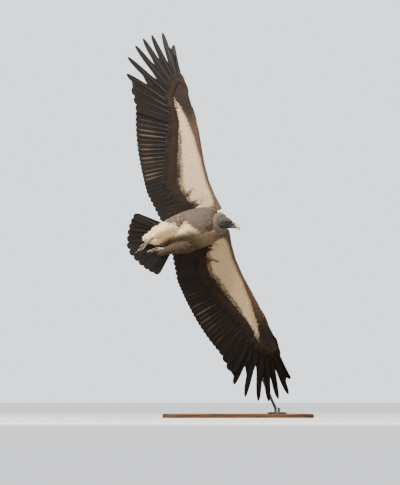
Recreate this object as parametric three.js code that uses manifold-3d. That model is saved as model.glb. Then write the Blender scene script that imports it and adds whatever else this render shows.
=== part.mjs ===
// White-backed vulture (Gyps africanus), adult, life size, gliding in a steep left bank.
// The bird is held by a leaning steel rod on a flat wooden base. Millimetres, +Z up.
// Display frame: origin at the middle of the base's underside.
// Bird frame: x forward, y to its left, z towards its back, origin midway between the shoulders.
// Head frame: x along the bill, y to its left, z to the crown, origin in the middle of the skull.
import * as THREE from 'three';
import { mergeVertices } from 'three/addons/utils/BufferGeometryUtils.js';
import Module from 'manifold-3d';

const wasm = await Module();
wasm.setup();

// ---- how the bird hangs in the display frame
const birdPlace = new THREE.Vector3(-150, -190, 1085);
const headingTurn = -22.9;
const noseUp = 14.1;
const leftBank = 75.2;

// ---- clearances
const gap = 0.3;

// ---- wing skeleton, drawn for the left wing before its own small swings
const shoulder = new THREE.Vector2(0, 65);
const elbow = new THREE.Vector2(-95, 280);
const wrist = new THREE.Vector2(70, 538);
const handEnd = new THREE.Vector2(74, 722);
const wingSwing = { left: 0.5, right: -0.5 };
const handSwing = { left: 2.5, right: -2.5 };

// ---- flight feathers, counted outwards from the wrist (primaries) and inwards (the others)
const primaryLengths = [364, 378, 400, 456, 495, 491, 475, 450, 418, 316];
const primaryAngles = [58.5, 53, 48, 42.4, 34.2, 26.8, 21.2, 16, 9, 4.4];
const fanTurn = { left: 0.4, right: 0.8 };
const primaryRoots = [0.08, 0.17, 0.26, 0.35, 0.45, 0.56, 0.68, 0.79, 0.89, 0.97];
const primarySlots = [0.95, 0.94, 0.87, 0.66, 0.56, 0.68, 0.66, 0.53, 0.73];
const primaryClimb = { inner: 5, growth: 0.24 };
const secondaryCount = 18;
const secondaryLengths = { outer: 366, inner: 222 };
const secondaryAngles = { outer: 60.5, inner: 94 };
const tertialCount = 6;
const tertialLengths = { outer: 221, inner: 250 };
const tertialAngles = { outer: 95, inner: 100 };
const scallopSlot = 0.955;
const vaneStart = 0.24;
const trailingSag = 14;
const fingerHalfWidth = 15;
const scallopHalfWidth = 11;
const wingEdges = { inner: 48, outer: 17 };
const slabThickness = { root: 7, tip: 1.8 };

// ---- arm: half thickness at the shoulder, elbow, wrist and hand end, and where its section is cut
const armHalfThickness = [30, 19, 13, 6];
const armChordSteps = [0.07, 0.28, 0.62];
const armCamber = 9;
const armFrontDrop = 5;

// ---- leading edge of the spread wing: distance out along the wing, and how far forward it lies
const leadingEdgeStations = [
  [60, 95], [110, 80], [230, 66], [330, 69], [430, 82], [520, 94], [620, 96], [735, 93],
];

// ---- trunk: x, half width, height of the middle, half height
const trunkStations = [
  [72, 46, -37, 42], [58, 67, -36, 58], [36, 84, -37, 74], [0, 100, -39, 88], [-50, 110, -43, 93],
  [-110, 112, -45, 92], [-170, 106, -43, 84], [-220, 95, -39, 70], [-264, 79, -33, 53],
  [-302, 58, -27, 37], [-338, 32, -22, 20],
];

// ---- tail
const tailCount = 12;
const tailLengths = { middle: 262, outer: 198 };
const tailSpread = 42;
const tailTurn = 2.5;
const tailRoot = new THREE.Vector3(-262, 0, -8);
const tailRootHalfWidth = 44;
const tailEdges = { inner: 22, outer: 22 };
const tailDroop = 14;
const tailEdgeDroop = 10;
const tailVaneStart = 0.08;
const tailScallopHalfWidth = 24;
const underCoverts = { root: -300, tip: -414, y: -30, z: -26, halfWidth: 44, halfHeight: 22 };
const upperCoverts = { root: -290, tip: -392, y: 0, z: -8, halfWidth: 62, halfHeight: 14 };

// ---- head, in the head frame; the head is held level while the body banks
const headPlace = new THREE.Vector3(114, 13, -66);
const headNoseDown = 16;
const headTurn = -21;
const headBank = 6;
const eyeRadius = 8;
const eyePlace = new THREE.Vector3(14, 15.4, 5);

// ---- skull: x, height of the middle, half height, half width
const skullStations = [
  [-45, 0, 12, 10], [-40, 0.5, 21, 16], [-28, 2, 28, 22], [-12, 2.5, 31, 24.5], [5, 1.5, 30, 24],
  [18, 0, 27, 21.5], [28, -1, 23, 17], [35, -2, 19.5, 13.2], [39, -2.5, 18, 11.4],
];

// ---- bill: x, z, half height, half width; the upper half runs into the hook
const upperBill = [
  [39.5, 5.6, 9.4, 11], [47, 5.2, 9.2, 10], [57, 4, 9.4, 8.6], [67, 1.6, 9, 7], [76, -3, 8, 5.2],
  [82, -9.5, 5.8, 3.6], [84, -16.5, 3, 2], [83.5, -21, 0.8, 0.6],
];
const lowerBill = [
  [39.5, -12, 7.6, 9.6], [47, -11.4, 6.6, 8.8], [57, -11, 5.4, 7.2], [66, -11, 3.6, 5], [72, -11, 1, 1.6],
];
const hookLean = 14;
const hookStart = 2;

// ---- neck from the trunk to the nape, and the ring of down around its root
const neckStart = [new THREE.Vector3(30, 0, -36), new THREE.Vector3(64, 1, -42)];
const napeInHead = new THREE.Vector3(-28, 0, -2);
const neckRadii = [38, 34, 24];
const ruffProfile = [[32, -16], [48, -20], [58, -8], [55, 8], [39, 19], [27, 6], [32, -16]];
const ruffPlace = new THREE.Vector3(73, -4, -45);
const ruffAxis = new THREE.Vector3(0.93, 0.1, -0.34).normalize();

// ---- legs, laid back under the tail: trouser is the end of the feathering, and curl bends the
// toes, the right foot lying almost straight over the tail and the left one half clenched
const legPoses = {
  left: { knee: [-120, 68, -88], heel: [-222, 62, -98], ball: [-303, 46, -101], trouser: [-304, 68, -90],
    curl: 1.7 },
  right: { knee: [-120, -66, -88], heel: [-268, -51, -104], ball: [-352, -13, -92],
    trouser: [-312, -34, -98], curl: 0.25 },
};
const thighRadii = [24, 46, 42, 31, 14];
const shankRadii = [8.5, 7.2, 8.5];
const palmRadii = [8.4, 12, 12, 7];

// ---- toes: the middle one, the two beside it, and the hind one
const toeSizes = [
  { length: 78, turn: 0, from: 6, thick: 6.2 },
  { length: 54, turn: 11, from: 4, thick: 5.6 },
  { length: 46, turn: -12, from: 4, thick: 5.6 },
  { length: 30, turn: -48, from: 0, thick: 5.2 },
];

// ---- stand
const rodRadius = 8;
const rodTop = new THREE.Vector3(-100, 0, 8);
const rodFoot = new THREE.Vector2(228, 340);
const baseSize = { x: 840, y: 840, thickness: 22, corner: 60 };
const flangeSize = { radius: 55, height: 8, collarRadius: 17, collarHeight: 34 };

const degrees = THREE.MathUtils.degToRad;
const lerp = THREE.MathUtils.lerp;

// ---- solids -----------------------------------------------------------------------------------

// Welds a list of triangles' corners into one indexed geometry with its faces pointing out.
function weld(corners) {
  const soup = new THREE.BufferGeometry();
  const numbers = corners.flatMap((p) => [p.x, p.y, p.z]);
  soup.setAttribute('position', new THREE.Float32BufferAttribute(numbers, 3));
  const geometry = mergeVertices(soup, 1e-3);
  const position = geometry.attributes.position;
  const index = geometry.index.array;
  const a = new THREE.Vector3();
  const b = new THREE.Vector3();
  const c = new THREE.Vector3();
  let volume = 0;
  for (let i = 0; i < index.length; i += 3) {
    a.fromBufferAttribute(position, index[i]);
    b.fromBufferAttribute(position, index[i + 1]);
    c.fromBufferAttribute(position, index[i + 2]);
    volume += a.dot(b.cross(c));
  }
  if (volume < 0) {
    for (let i = 0; i < index.length; i += 3) {
      [index[i], index[i + 1]] = [index[i + 1], index[i]];
    }
  }
  return geometry;
}

function quad(corners, a, b, c, d) {
  corners.push(a, b, c, a, c, d);
}

// Closed body through rings of equal length, with a fan at each end.
function loft(rings) {
  const corners = [];
  const count = rings[0].length;
  for (let r = 0; r + 1 < rings.length; r += 1) {
    for (let i = 0; i < count; i += 1) {
      const j = (i + 1) % count;
      quad(corners, rings[r][i], rings[r][j], rings[r + 1][j], rings[r + 1][i]);
    }
  }
  for (const [ring, flip] of [[rings[0], true], [rings[rings.length - 1], false]]) {
    const middle = ring.reduce((sum, p) => sum.add(p), new THREE.Vector3()).divideScalar(count);
    for (let i = 0; i < count; i += 1) {
      const j = (i + 1) % count;
      corners.push(middle, flip ? ring[j] : ring[i], flip ? ring[i] : ring[j]);
    }
  }
  return weld(corners);
}

// Ring of an ellipse around a centre, in the plane of two unit directions.
function ovalRing(centre, across, up, halfWidth, halfHeight, sides) {
  const ring = [];
  for (let i = 0; i < sides; i += 1) {
    const turn = (i / sides) * 2 * Math.PI;
    ring.push(centre.clone()
      .addScaledVector(across, halfWidth * Math.cos(turn))
      .addScaledVector(up, halfHeight * Math.sin(turn)));
  }
  return ring;
}

// Round limb along a chain of points, each given with its radius.
function limb(points, radii, sides, side = null) {
  const rings = points.map((point, i) => {
    const before = points[Math.max(i - 1, 0)];
    const after = points[Math.min(i + 1, points.length - 1)];
    const along = after.clone().sub(before).normalize();
    const across = side ?? new THREE.Vector3(0, 0, 1).cross(along).normalize();
    const up = along.clone().cross(across);
    return ovalRing(point, across, up, radii[i], radii[i], sides);
  });
  return loft(rings);
}

function toSolid(geometry) {
  const bare = geometry.clone();
  bare.deleteAttribute('normal');
  bare.deleteAttribute('uv');
  const merged = mergeVertices(bare, 1e-3);
  return new wasm.Manifold(new wasm.Mesh({
    numProp: 3,
    vertProperties: new Float32Array(merged.attributes.position.array),
    triVerts: new Uint32Array(merged.index.array),
  }));
}

function toGeometry(solid) {
  const mesh = solid.getMesh();
  const geometry = new THREE.BufferGeometry();
  const numbers = new Float32Array(mesh.vertProperties);
  geometry.setAttribute('position', new THREE.BufferAttribute(numbers, 3));
  geometry.setIndex(new THREE.BufferAttribute(new Uint32Array(mesh.triVerts), 1));
  return geometry;
}

// Keeps only the largest body, so that slivers cut loose by a neighbour are dropped.
function cutAway(geometry, cutters) {
  let solid = toSolid(geometry);
  for (const cutter of cutters) solid = solid.subtract(toSolid(cutter));
  const bodies = solid.decompose().sort((one, other) => other.volume() - one.volume());
  return toGeometry(bodies[0]);
}

function join(geometries) {
  let solid = toSolid(geometries[0]);
  for (const geometry of geometries.slice(1)) solid = solid.add(toSolid(geometry));
  return toGeometry(solid);
}

// ---- materials and nodes ----------------------------------------------------------------------

const colours = {
  flight: 0x37302f, band: 0xd8c6a6, brown: 0x6f5a49, cream: 0xe0d0b2, ruff: 0xe6dcc8,
  skin: 0x34312f, horn: 0x3a3836, hornPale: 0xb7aaa4, leg: 0x9a8c84, claw: 0x2a2725, eye: 0x120c08,
  wood: 0x5a3d28, steel: 0x8d8f92,
};

function addPiece(parent, name, geometry, color, roughness = 0.85, metalness = 0) {
  const material = new THREE.MeshStandardMaterial({ color, roughness, metalness, flatShading: true });
  const mesh = new THREE.Mesh(geometry, material);
  mesh.name = name;
  parent.add(mesh);
}

const display = new THREE.Group();
const bird = new THREE.Group();
bird.position.copy(birdPlace);
bird.rotation.set(degrees(-leftBank), degrees(-noseUp), degrees(headingTurn), 'ZYX');
display.add(bird);
display.updateMatrixWorld(true);

// ---- trunk ------------------------------------------------------------------------------------

// Rings across a chain of stations are ovals in this plane, of the bird's frame or the head's.
const sideways = new THREE.Vector3(0, 1, 0);
const upwards = new THREE.Vector3(0, 0, 1);

// How far an end ring moves out along x when a body is grown to cut its neighbours.
function endShift(i, last, grow) {
  if (i === 0) return grow;
  return i === last ? -grow : 0;
}

function trunkBody(grow) {
  const last = trunkStations.length - 1;
  return loft(trunkStations.map(([x, halfWidth, middle, halfHeight], i) => ovalRing(
    new THREE.Vector3(x + endShift(i, last, grow), 0, middle), sideways, upwards,
    halfWidth + 2 * grow, halfHeight + 2 * grow, 22,
  )));
}

// ---- wings ------------------------------------------------------------------------------------

// Rise of the spread wing above the shoulders, flat at the body and steeper past the wrist.
function spanHeight(y) {
  const out = Math.max(y - 70, 0);
  const past = Math.max(out - 450, 0);
  return 0.12 * Math.min(out, 450) + 0.16 * past + 0.00025 * past * past;
}

// How far forward the leading edge lies, this far out along the wing.
function leadingEdge(y) {
  const next = Math.max(leadingEdgeStations.findIndex(([stationY]) => y <= stationY), 1);
  const [y0, x0] = leadingEdgeStations[next - 1];
  const [y1, x1] = leadingEdgeStations[next];
  return lerp(x0, x1, Math.max(y - y0, 0) / (y1 - y0));
}

// Turns a plan point forward about a centre.
function swing(point, centre, angle) {
  return point.clone().sub(centre).rotateAround(new THREE.Vector2(), -degrees(angle)).add(centre);
}

function wingPlan(side) {
  const turned = (point) => swing(point, shoulder, wingSwing[side]);
  const plan = { elbow: turned(elbow), wrist: turned(wrist) };
  const swungHand = (point) => swing(turned(point), plan.wrist, handSwing[side]);
  plan.handEnd = swungHand(handEnd);
  plan.leading = (y) => {
    const edge = new THREE.Vector2(leadingEdge(y), y);
    return y > wrist.y ? swungHand(edge) : turned(edge);
  };
  return plan;
}

// A flight feather: its root, plan direction, length, rise to the tip and where its slots start.
function makeFeather(root, angle, length, rise) {
  const out = Math.sqrt(length * length - rise * rise);
  const direction = new THREE.Vector2(-Math.sin(degrees(angle)), Math.cos(degrees(angle)));
  return {
    at(t) {
      return new THREE.Vector3(root.x + direction.x * out * t, root.y + direction.y * out * t,
        spanHeight(root.y) + rise * (0.45 * t + 0.55 * t * t));
    },
    aside: new THREE.Vector3(direction.y, -direction.x, 0),
  };
}

// Feathers from the body outwards: tertials, secondaries, primaries.
function wingFeathers(plan, side) {
  const feathers = [];
  const inner = (count, i, ends) => lerp(ends.outer, ends.inner, i / (count - 1));
  for (let i = tertialCount - 1; i >= 0; i -= 1) {
    const root = plan.elbow.clone().lerp(shoulder, (i + 0.5) / (tertialCount + 3));
    const feather = makeFeather(root, inner(tertialCount, i, tertialAngles),
      inner(tertialCount, i, tertialLengths), -trailingSag);
    feathers.push({ ...feather, slot: scallopSlot });
  }
  for (let i = secondaryCount - 1; i >= 0; i -= 1) {
    const root = plan.wrist.clone().lerp(plan.elbow, (i + 0.5) / secondaryCount);
    const angle = inner(secondaryCount, i, secondaryAngles);
    const length = inner(secondaryCount, i, secondaryLengths);
    const tipY = root.y + length * Math.cos(degrees(angle));
    const rise = spanHeight(tipY) - spanHeight(root.y) - trailingSag * (i / secondaryCount);
    feathers.push({ ...makeFeather(root, angle, length, rise), slot: scallopSlot });
  }
  primaryLengths.forEach((length, i) => {
    const root = plan.wrist.clone().lerp(plan.handEnd, primaryRoots[i]);
    const climb = primaryClimb.inner + primaryClimb.growth * i * i;
    const angle = primaryAngles[i] + Math.min(i / 3, 1) * fanTurn[side];
    const feather = makeFeather(root, angle, length, length * Math.sin(degrees(climb)));
    feathers.push({ ...feather, slot: primarySlots[i] ?? 1 });
  });
  return feathers;
}

// Line between two neighbouring feathers; past the ends it is the outermost feather's own edge.
function seamBetween(feathers, i, t, edgeWidth) {
  const inside = feathers[i - 1];
  const outside = feathers[i];
  if (inside && outside) return inside.at(t).add(outside.at(t)).multiplyScalar(0.5);
  const only = inside ?? outside;
  const half = (inside ? edgeWidth.outer : edgeWidth.inner) * (1 - Math.pow(t, 4));
  return only.at(t).addScaledVector(only.aside, inside ? half : -half);
}

const thicknessAt = (t) => lerp(slabThickness.root, slabThickness.tip, Math.min(t * 1.15, 1));

// A row of feathers joined into one thin body, with its fingers free past their slots.
// mirror is 1 on the left and -1 on the right; trim moves the two outer edges inwards.
function featherSlab(feathers, first, last, mirror, options) {
  const { start, joinedRows, freeRows, halfWidth, edges, trim = 0, thicken = 0 } = options;
  const corners = [];
  const place = (point, t, level) => new THREE.Vector3(point.x, point.y * mirror,
    point.z + level * (0.5 * thicknessAt(t) + thicken));
  const edgePoint = (i, t) => {
    const point = seamBetween(feathers, i, t, edges);
    if (i === first && feathers[i - 1]) point.addScaledVector(feathers[i].aside, -trim);
    if (i === last + 1 && feathers[i]) point.addScaledVector(feathers[i - 1].aside, trim);
    return point;
  };
  for (let i = first; i <= last; i += 1) {
    const feather = feathers[i];
    const innerSlot = feathers[i - 1] ? feathers[i - 1].slot : scallopSlot;
    const outerSlot = feathers[i + 1] ? feather.slot : scallopSlot;
    const rows = [];
    for (let r = 0; r <= joinedRows; r += 1) {
      const tIn = lerp(start, innerSlot, r / joinedRows);
      const tOut = lerp(start, outerSlot, r / joinedRows);
      const tMid = (tIn + tOut) / 2;
      rows.push([[edgePoint(i, tIn), tIn], [feather.at(tMid), tMid], [edgePoint(i + 1, tOut), tOut]]);
    }
    rows[0][1][0] = rows[0][0][0].clone().lerp(rows[0][2][0], 0.5);
    const [slotIn, , slotOut] = rows[joinedRows];
    const inSide = slotIn[0].clone().sub(feather.at(innerSlot)).dot(feather.aside);
    const outSide = slotOut[0].clone().sub(feather.at(outerSlot)).dot(feather.aside);
    for (let r = 1; r < freeRows; r += 1) {
      const q = r / freeRows;
      const narrow = Math.min(q / 0.3, 1);
      const half = halfWidth * Math.sqrt(1 - q * q);
      const tIn = lerp(innerSlot, 1, q);
      const tOut = lerp(outerSlot, 1, q);
      rows.push([
        [feather.at(tIn).addScaledVector(feather.aside, lerp(inSide, -half, narrow)), tIn],
        [feather.at((tIn + tOut) / 2), (tIn + tOut) / 2],
        [feather.at(tOut).addScaledVector(feather.aside, lerp(outSide, half, narrow)), tOut],
      ]);
    }
    const tip = [feather.at(1), 1];
    rows.push([tip, tip, tip]);
    for (let r = 0; r + 1 < rows.length; r += 1) {
      for (let c = 0; c < 2; c += 1) {
        const four = [rows[r][c], rows[r][c + 1], rows[r + 1][c + 1], rows[r + 1][c]];
        const top = four.map(([point, t]) => place(point, t, 1));
        const under = four.map(([point, t]) => place(point, t, -1));
        if (r + 2 === rows.length) {
          corners.push(top[0], top[1], top[2], under[0], under[2], under[1]);
        } else {
          quad(corners, ...top);
          quad(corners, under[0], under[3], under[2], under[1]);
        }
        if (r === 0) quad(corners, top[1], top[0], under[0], under[1]);
        const freeIn = c === 0 && (r >= joinedRows || i === first);
        const freeOut = c === 1 && (r >= joinedRows || i === last);
        if (freeIn) quad(corners, top[0], top[3], under[3], under[0]);
        if (freeOut) quad(corners, top[2], top[1], under[1], under[2]);
      }
    }
  }
  return weld(corners);
}

// Section of the arm on one seam, from the leading edge back to the flight feathers.
// Seam -1 is the root, inside the trunk's outline.
function armRing(plan, feathers, i, mirror) {
  const count = feathers.length;
  const seam = Math.max(i, 0);
  const boneY = i < 0 ? shoulder.y
    : (feathers[Math.max(i - 1, 0)].at(0).y + feathers[Math.min(i, count - 1)].at(0).y) / 2;
  const edge = plan.leading(boneY);
  const rear = seamBetween(feathers, seam, vaneStart, wingEdges);
  if (i < 0) rear.y = shoulder.y;
  const front = new THREE.Vector3(edge.x, edge.y, spanHeight(boneY) - armFrontDrop);
  rear.addScaledVector(front.clone().sub(rear).normalize(), gap + 0.1);
  const joints = [shoulder.y, elbow.y, wrist.y, handEnd.y];
  const segment = Math.min(Math.max(joints.findIndex((y) => boneY < y) - 1, 0), 2);
  const along = (boneY - joints[segment]) / (joints[segment + 1] - joints[segment]);
  const thick = lerp(armHalfThickness[segment], armHalfThickness[segment + 1], Math.min(along, 1));
  const rearHalf = slabThickness.root / 2;
  const upper = [];
  const lower = [];
  for (const a of armChordSteps) {
    const point = front.clone().lerp(rear, a);
    const bulge = 1.87 * Math.sqrt(a) * Math.pow(1 - a, 1.3);
    const half = rearHalf * a + thick * bulge;
    const camber = armCamber * Math.sin(Math.PI * a);
    upper.push(point.clone().setZ(point.z + camber + half * 0.95));
    lower.push(point.clone().setZ(point.z + camber - half * 1.05));
  }
  upper.push(rear.clone().setZ(rear.z + rearHalf));
  lower.push(rear.clone().setZ(rear.z - rearHalf));
  return [front, ...upper, ...lower.reverse()].map((p) => p.setY(p.y * mirror));
}

// The arm between two seams, with a thin cut at each end.
function armPiece(plan, feathers, first, last, mirror) {
  const rings = [];
  for (let i = first; i <= last; i += 1) rings.push(armRing(plan, feathers, i, mirror));
  rings[0].forEach((p) => p.setY(p.y + mirror * gap / 2));
  rings[rings.length - 1].forEach((p) => p.setY(p.y - mirror * gap / 2));
  return loft(rings);
}

const trunkCutter = trunkBody(gap);
for (const [side, mirror] of [['left', 1], ['right', -1]]) {
  const plan = wingPlan(side);
  const feathers = wingFeathers(plan, side);
  const tertialEnd = tertialCount - 1;
  const secondaryEnd = tertialEnd + secondaryCount;
  const primaryEnd = feathers.length - 1;
  const joined = { start: vaneStart, trim: -gap, edges: wingEdges };
  const scallops = { ...joined, joinedRows: 1, freeRows: 2, halfWidth: scallopHalfWidth };
  const fingers = { ...joined, joinedRows: 2, freeRows: 4, halfWidth: fingerHalfWidth };
  const tertials = featherSlab(feathers, 0, tertialEnd, mirror, scallops);
  const secondaries = featherSlab(feathers, tertialEnd + 1, secondaryEnd, mirror, scallops);
  const primaries = featherSlab(feathers, secondaryEnd + 1, primaryEnd, mirror, fingers);
  const upperarm = armPiece(plan, feathers, -1, tertialEnd + 1, mirror);
  const forearm = armPiece(plan, feathers, tertialEnd + 1, secondaryEnd + 1, mirror);
  const hand = armPiece(plan, feathers, secondaryEnd + 1, primaryEnd + 1, mirror);
  addPiece(bird, `upperarm_${side}`, cutAway(upperarm, [trunkCutter]), colours.band);
  addPiece(bird, `forearm_${side}`, forearm, colours.band);
  addPiece(bird, `hand_${side}`, hand, colours.brown);
  addPiece(bird, `tertials_${side}`, cutAway(tertials, [trunkCutter]), colours.flight);
  addPiece(bird, `secondaries_${side}`, secondaries, colours.flight);
  addPiece(bird, `primaries_${side}`, primaries, colours.flight);
}

// ---- tail and its coverts ---------------------------------------------------------------------

function tailFeathers() {
  const feathers = [];
  for (let i = 0; i < tailCount; i += 1) {
    const across = (i - (tailCount - 1) / 2) / ((tailCount - 1) / 2);
    const angle = degrees(across * tailSpread + tailTurn);
    const length = lerp(tailLengths.middle, tailLengths.outer, Math.abs(across));
    const direction = new THREE.Vector3(-Math.cos(angle), Math.sin(angle), 0);
    const root = tailRoot.clone().add(new THREE.Vector3(0, across * tailRootHalfWidth, 0));
    feathers.push({
      slot: scallopSlot,
      aside: new THREE.Vector3(direction.y, -direction.x, 0),
      at(t) {
        const point = root.clone().addScaledVector(direction, length * t);
        point.z -= tailDroop * t * t + tailEdgeDroop * across * across * t;
        return point;
      },
    });
  }
  return feathers;
}

// The coverts over and under the tail's root: a flat tongue with a round tip.
function covertTongue({ root, tip, y, z, halfWidth, halfHeight }, grow) {
  const steps = 4;
  const rings = [];
  for (let i = 0; i <= steps; i += 1) {
    const q = i / steps;
    const taper = Math.sqrt(1 - 0.97 * q * q);
    const centre = new THREE.Vector3(lerp(root, tip, q), y, z);
    rings.push(ovalRing(centre, sideways, upwards,
      (halfWidth + grow) * taper, (halfHeight + grow) * taper, 12));
  }
  return loft(rings);
}

const tailFan = (thicken) => featherSlab(tailFeathers(), 0, tailCount - 1, 1, {
  start: tailVaneStart,
  joinedRows: 1,
  freeRows: 2,
  halfWidth: tailScallopHalfWidth,
  edges: tailEdges,
  thicken,
});
const covertNeighbours = [trunkCutter, tailFan(2 * gap)];
const underTongue = cutAway(covertTongue(underCoverts, 0), covertNeighbours);
const upperTongue = cutAway(covertTongue(upperCoverts, 0), covertNeighbours);
addPiece(bird, 'tail', cutAway(tailFan(0), [trunkCutter]), colours.flight);
addPiece(bird, 'tail_coverts_under', underTongue, colours.cream);
addPiece(bird, 'tail_coverts_upper', upperTongue, colours.brown);

// ---- legs -------------------------------------------------------------------------------------

const legCutters = [trunkCutter, covertTongue(underCoverts, gap)];

// The four toes of one foot, each an arc. onFoot gives a point forward, sideways and down from its
// ball; way gives the directions of the foot.
function makeToes(onFoot, way, curl) {
  return toeSizes.map(({ length, turn, from, thick }) => {
    const aside = Math.sin(degrees(turn));
    const ahead = Math.cos(degrees(turn));
    const joint = (q, drop) => {
      const reach = length * Math.sin(curl * q) / curl;
      return onFoot(from + reach * ahead, reach * aside, drop + length * (1 - Math.cos(curl * q)) / curl);
    };
    const side = way.along.clone().multiplyScalar(ahead).addScaledVector(way.across, aside).cross(way.down);
    return {
      thick,
      side,
      toe: [joint(-0.02, 3), joint(0.35, 1), joint(0.7, 3), joint(1, 9)],
      claw: [joint(1, 9), joint(1.14, 13), joint(1.24, 21), joint(1.26, 29)],
    };
  });
}

const toeLimb = ({ toe, thick, side }, grow) => (
  limb(toe, [1, 1, 0.9, 0.7].map((k) => k * thick + grow), 7, side));
const clawLimb = ({ claw, thick, side }) => (
  limb(claw, [0.62 * thick, 0.52 * thick, 0.34 * thick, 0.5], 6, side));

// One leg: feathered thigh and shin, bare shank, four toes and claws.
function addLeg(side, pose) {
  const [knee, heel, ball, trouser] = [pose.knee, pose.heel, pose.ball, pose.trouser]
    .map((p) => new THREE.Vector3(...p));
  const hip = new THREE.Vector3(knee.x + 45, knee.y * 0.9, knee.z + 20);
  const shin = knee.clone().lerp(heel, 0.45).add(new THREE.Vector3(0, 0, -4));
  const thighLine = [hip, knee, shin, knee.clone().lerp(heel, 0.8), trouser];
  const thigh = limb(thighLine, thighRadii, 14);
  const thighCutter = limb(thighLine, thighRadii.map((radius) => radius + gap), 14);
  addPiece(bird, `thigh_${side}`, cutAway(thigh, [trunkCutter]), colours.cream);

  const along = ball.clone().sub(heel).normalize();
  const across = along.clone().cross(upwards).normalize();
  const down = along.clone().cross(across);
  const onFoot = (forward, aside, drop) => ball.clone()
    .addScaledVector(along, forward).addScaledVector(across, aside).addScaledVector(down, drop);
  const palm = limb([onFoot(-11.5, 0, 0), onFoot(0, 0, 1), onFoot(11, 0, 2), onFoot(19, 0, 3)],
    palmRadii, 10);
  const toes = makeToes(onFoot, { along, across, down }, pose.curl);
  const foot = join([palm, ...toes.map((toe) => toeLimb(toe, 0))]);
  const footCutter = join([palm, ...toes.map((toe) => toeLimb(toe, gap))]);
  addPiece(bird, `foot_${side}`, cutAway(foot, [...legCutters, thighCutter]), colours.leg, 0.7);

  const shankStart = heel.clone().addScaledVector(along, 14);
  const shankEnd = ball.clone().addScaledVector(along, -12);
  const shank = limb([shankStart, shankStart.clone().lerp(shankEnd, 0.5), shankEnd], shankRadii, 10);
  addPiece(bird, `shank_${side}`, cutAway(shank, [...legCutters, thighCutter, footCutter]), colours.leg, 0.7);
  toes.forEach((toe, i) => {
    addPiece(bird, `claw_${side}_${i + 1}`, cutAway(clawLimb(toe), [footCutter]), colours.claw, 0.4);
  });
}

addLeg('left', legPoses.left);
addLeg('right', legPoses.right);

// ---- head, neck and ruff ----------------------------------------------------------------------

const head = new THREE.Group();
head.position.copy(bird.localToWorld(headPlace.clone()));
head.rotation.set(degrees(headBank), degrees(headNoseDown), degrees(headTurn), 'ZYX');
display.add(head);
display.updateMatrixWorld(true);

function skull(grow) {
  const last = skullStations.length - 1;
  return loft(skullStations.map(([x, middle, halfHeight, halfWidth], i) => ovalRing(
    new THREE.Vector3(x - endShift(i, last, grow), 0, middle), sideways, upwards,
    halfWidth + grow, halfHeight + grow, 18,
  )));
}

const eyeBall = (side, grow) => new THREE.SphereGeometry(eyeRadius + grow, 12, 7)
  .translate(eyePlace.x, eyePlace.y * side, eyePlace.z);
addPiece(head, 'head', cutAway(skull(0), [eyeBall(1, gap), eyeBall(-1, gap)]), colours.skin);
addPiece(head, 'eye_left', eyeBall(1, 0), colours.eye, 0.1);
addPiece(head, 'eye_right', eyeBall(-1, 0), colours.eye, 0.1);

// One half of the bill; past its start the hook's rings lean forward by hookLean more each.
function billHalf(stations, lean) {
  return loft(stations.map(([x, z, halfHeight, halfWidth], i) => {
    const tilt = degrees(Math.max(i - hookStart, 0) * lean);
    const up = new THREE.Vector3(Math.sin(tilt), 0, Math.cos(tilt));
    return ovalRing(new THREE.Vector3(x, 0, z), sideways, up, halfWidth, halfHeight, 14);
  }));
}

const upperHalf = billHalf(upperBill, hookLean);
addPiece(head, 'bill_upper', upperHalf, colours.hornPale, 0.35);
addPiece(head, 'bill_lower', cutAway(billHalf(lowerBill, 0), [upperHalf]), colours.horn, 0.4);

// The neck leaves the front of the trunk and meets the back of the skull.
const intoBird = bird.matrixWorld.clone().invert();
const headCutter = skull(gap).applyMatrix4(head.matrixWorld).applyMatrix4(intoBird);
const nape = bird.worldToLocal(head.localToWorld(napeInHead.clone()));
const neck = (grow) => limb([...neckStart, nape], neckRadii.map((radius) => radius + grow), 14);
addPiece(bird, 'neck', cutAway(neck(0), [trunkCutter, headCutter]), colours.skin);

const ruffRing = new THREE.LatheGeometry(ruffProfile.map((pair) => new THREE.Vector2(...pair)), 14);
ruffRing.applyQuaternion(new THREE.Quaternion().setFromUnitVectors(sideways, ruffAxis));
ruffRing.translate(ruffPlace.x, ruffPlace.y, ruffPlace.z);
addPiece(bird, 'ruff', cutAway(ruffRing, [trunkCutter, neck(gap), headCutter]), colours.ruff);

// The trunk takes the rod in a blind socket in the back.
const rodFootPoint = new THREE.Vector3(rodFoot.x, rodFoot.y, baseSize.thickness);
const rodTopPoint = bird.localToWorld(rodTop.clone());

// The rod's axis from its top down to its foot, and this far beyond it.
function rodBetween(radius, beyond) {
  const along = rodFootPoint.clone().sub(rodTopPoint);
  const length = along.length() + beyond;
  along.normalize();
  const rod = new THREE.CylinderGeometry(radius, radius, length, 12);
  rod.applyQuaternion(new THREE.Quaternion().setFromUnitVectors(new THREE.Vector3(0, -1, 0), along));
  const middle = rodTopPoint.clone().addScaledVector(along, length / 2);
  return rod.translate(middle.x, middle.y, middle.z);
}
const socket = rodBetween(rodRadius + gap, 0).applyMatrix4(intoBird);
addPiece(bird, 'trunk', cutAway(trunkBody(0), [socket, headCutter]), colours.brown);

// ---- stand ------------------------------------------------------------------------------------

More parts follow.
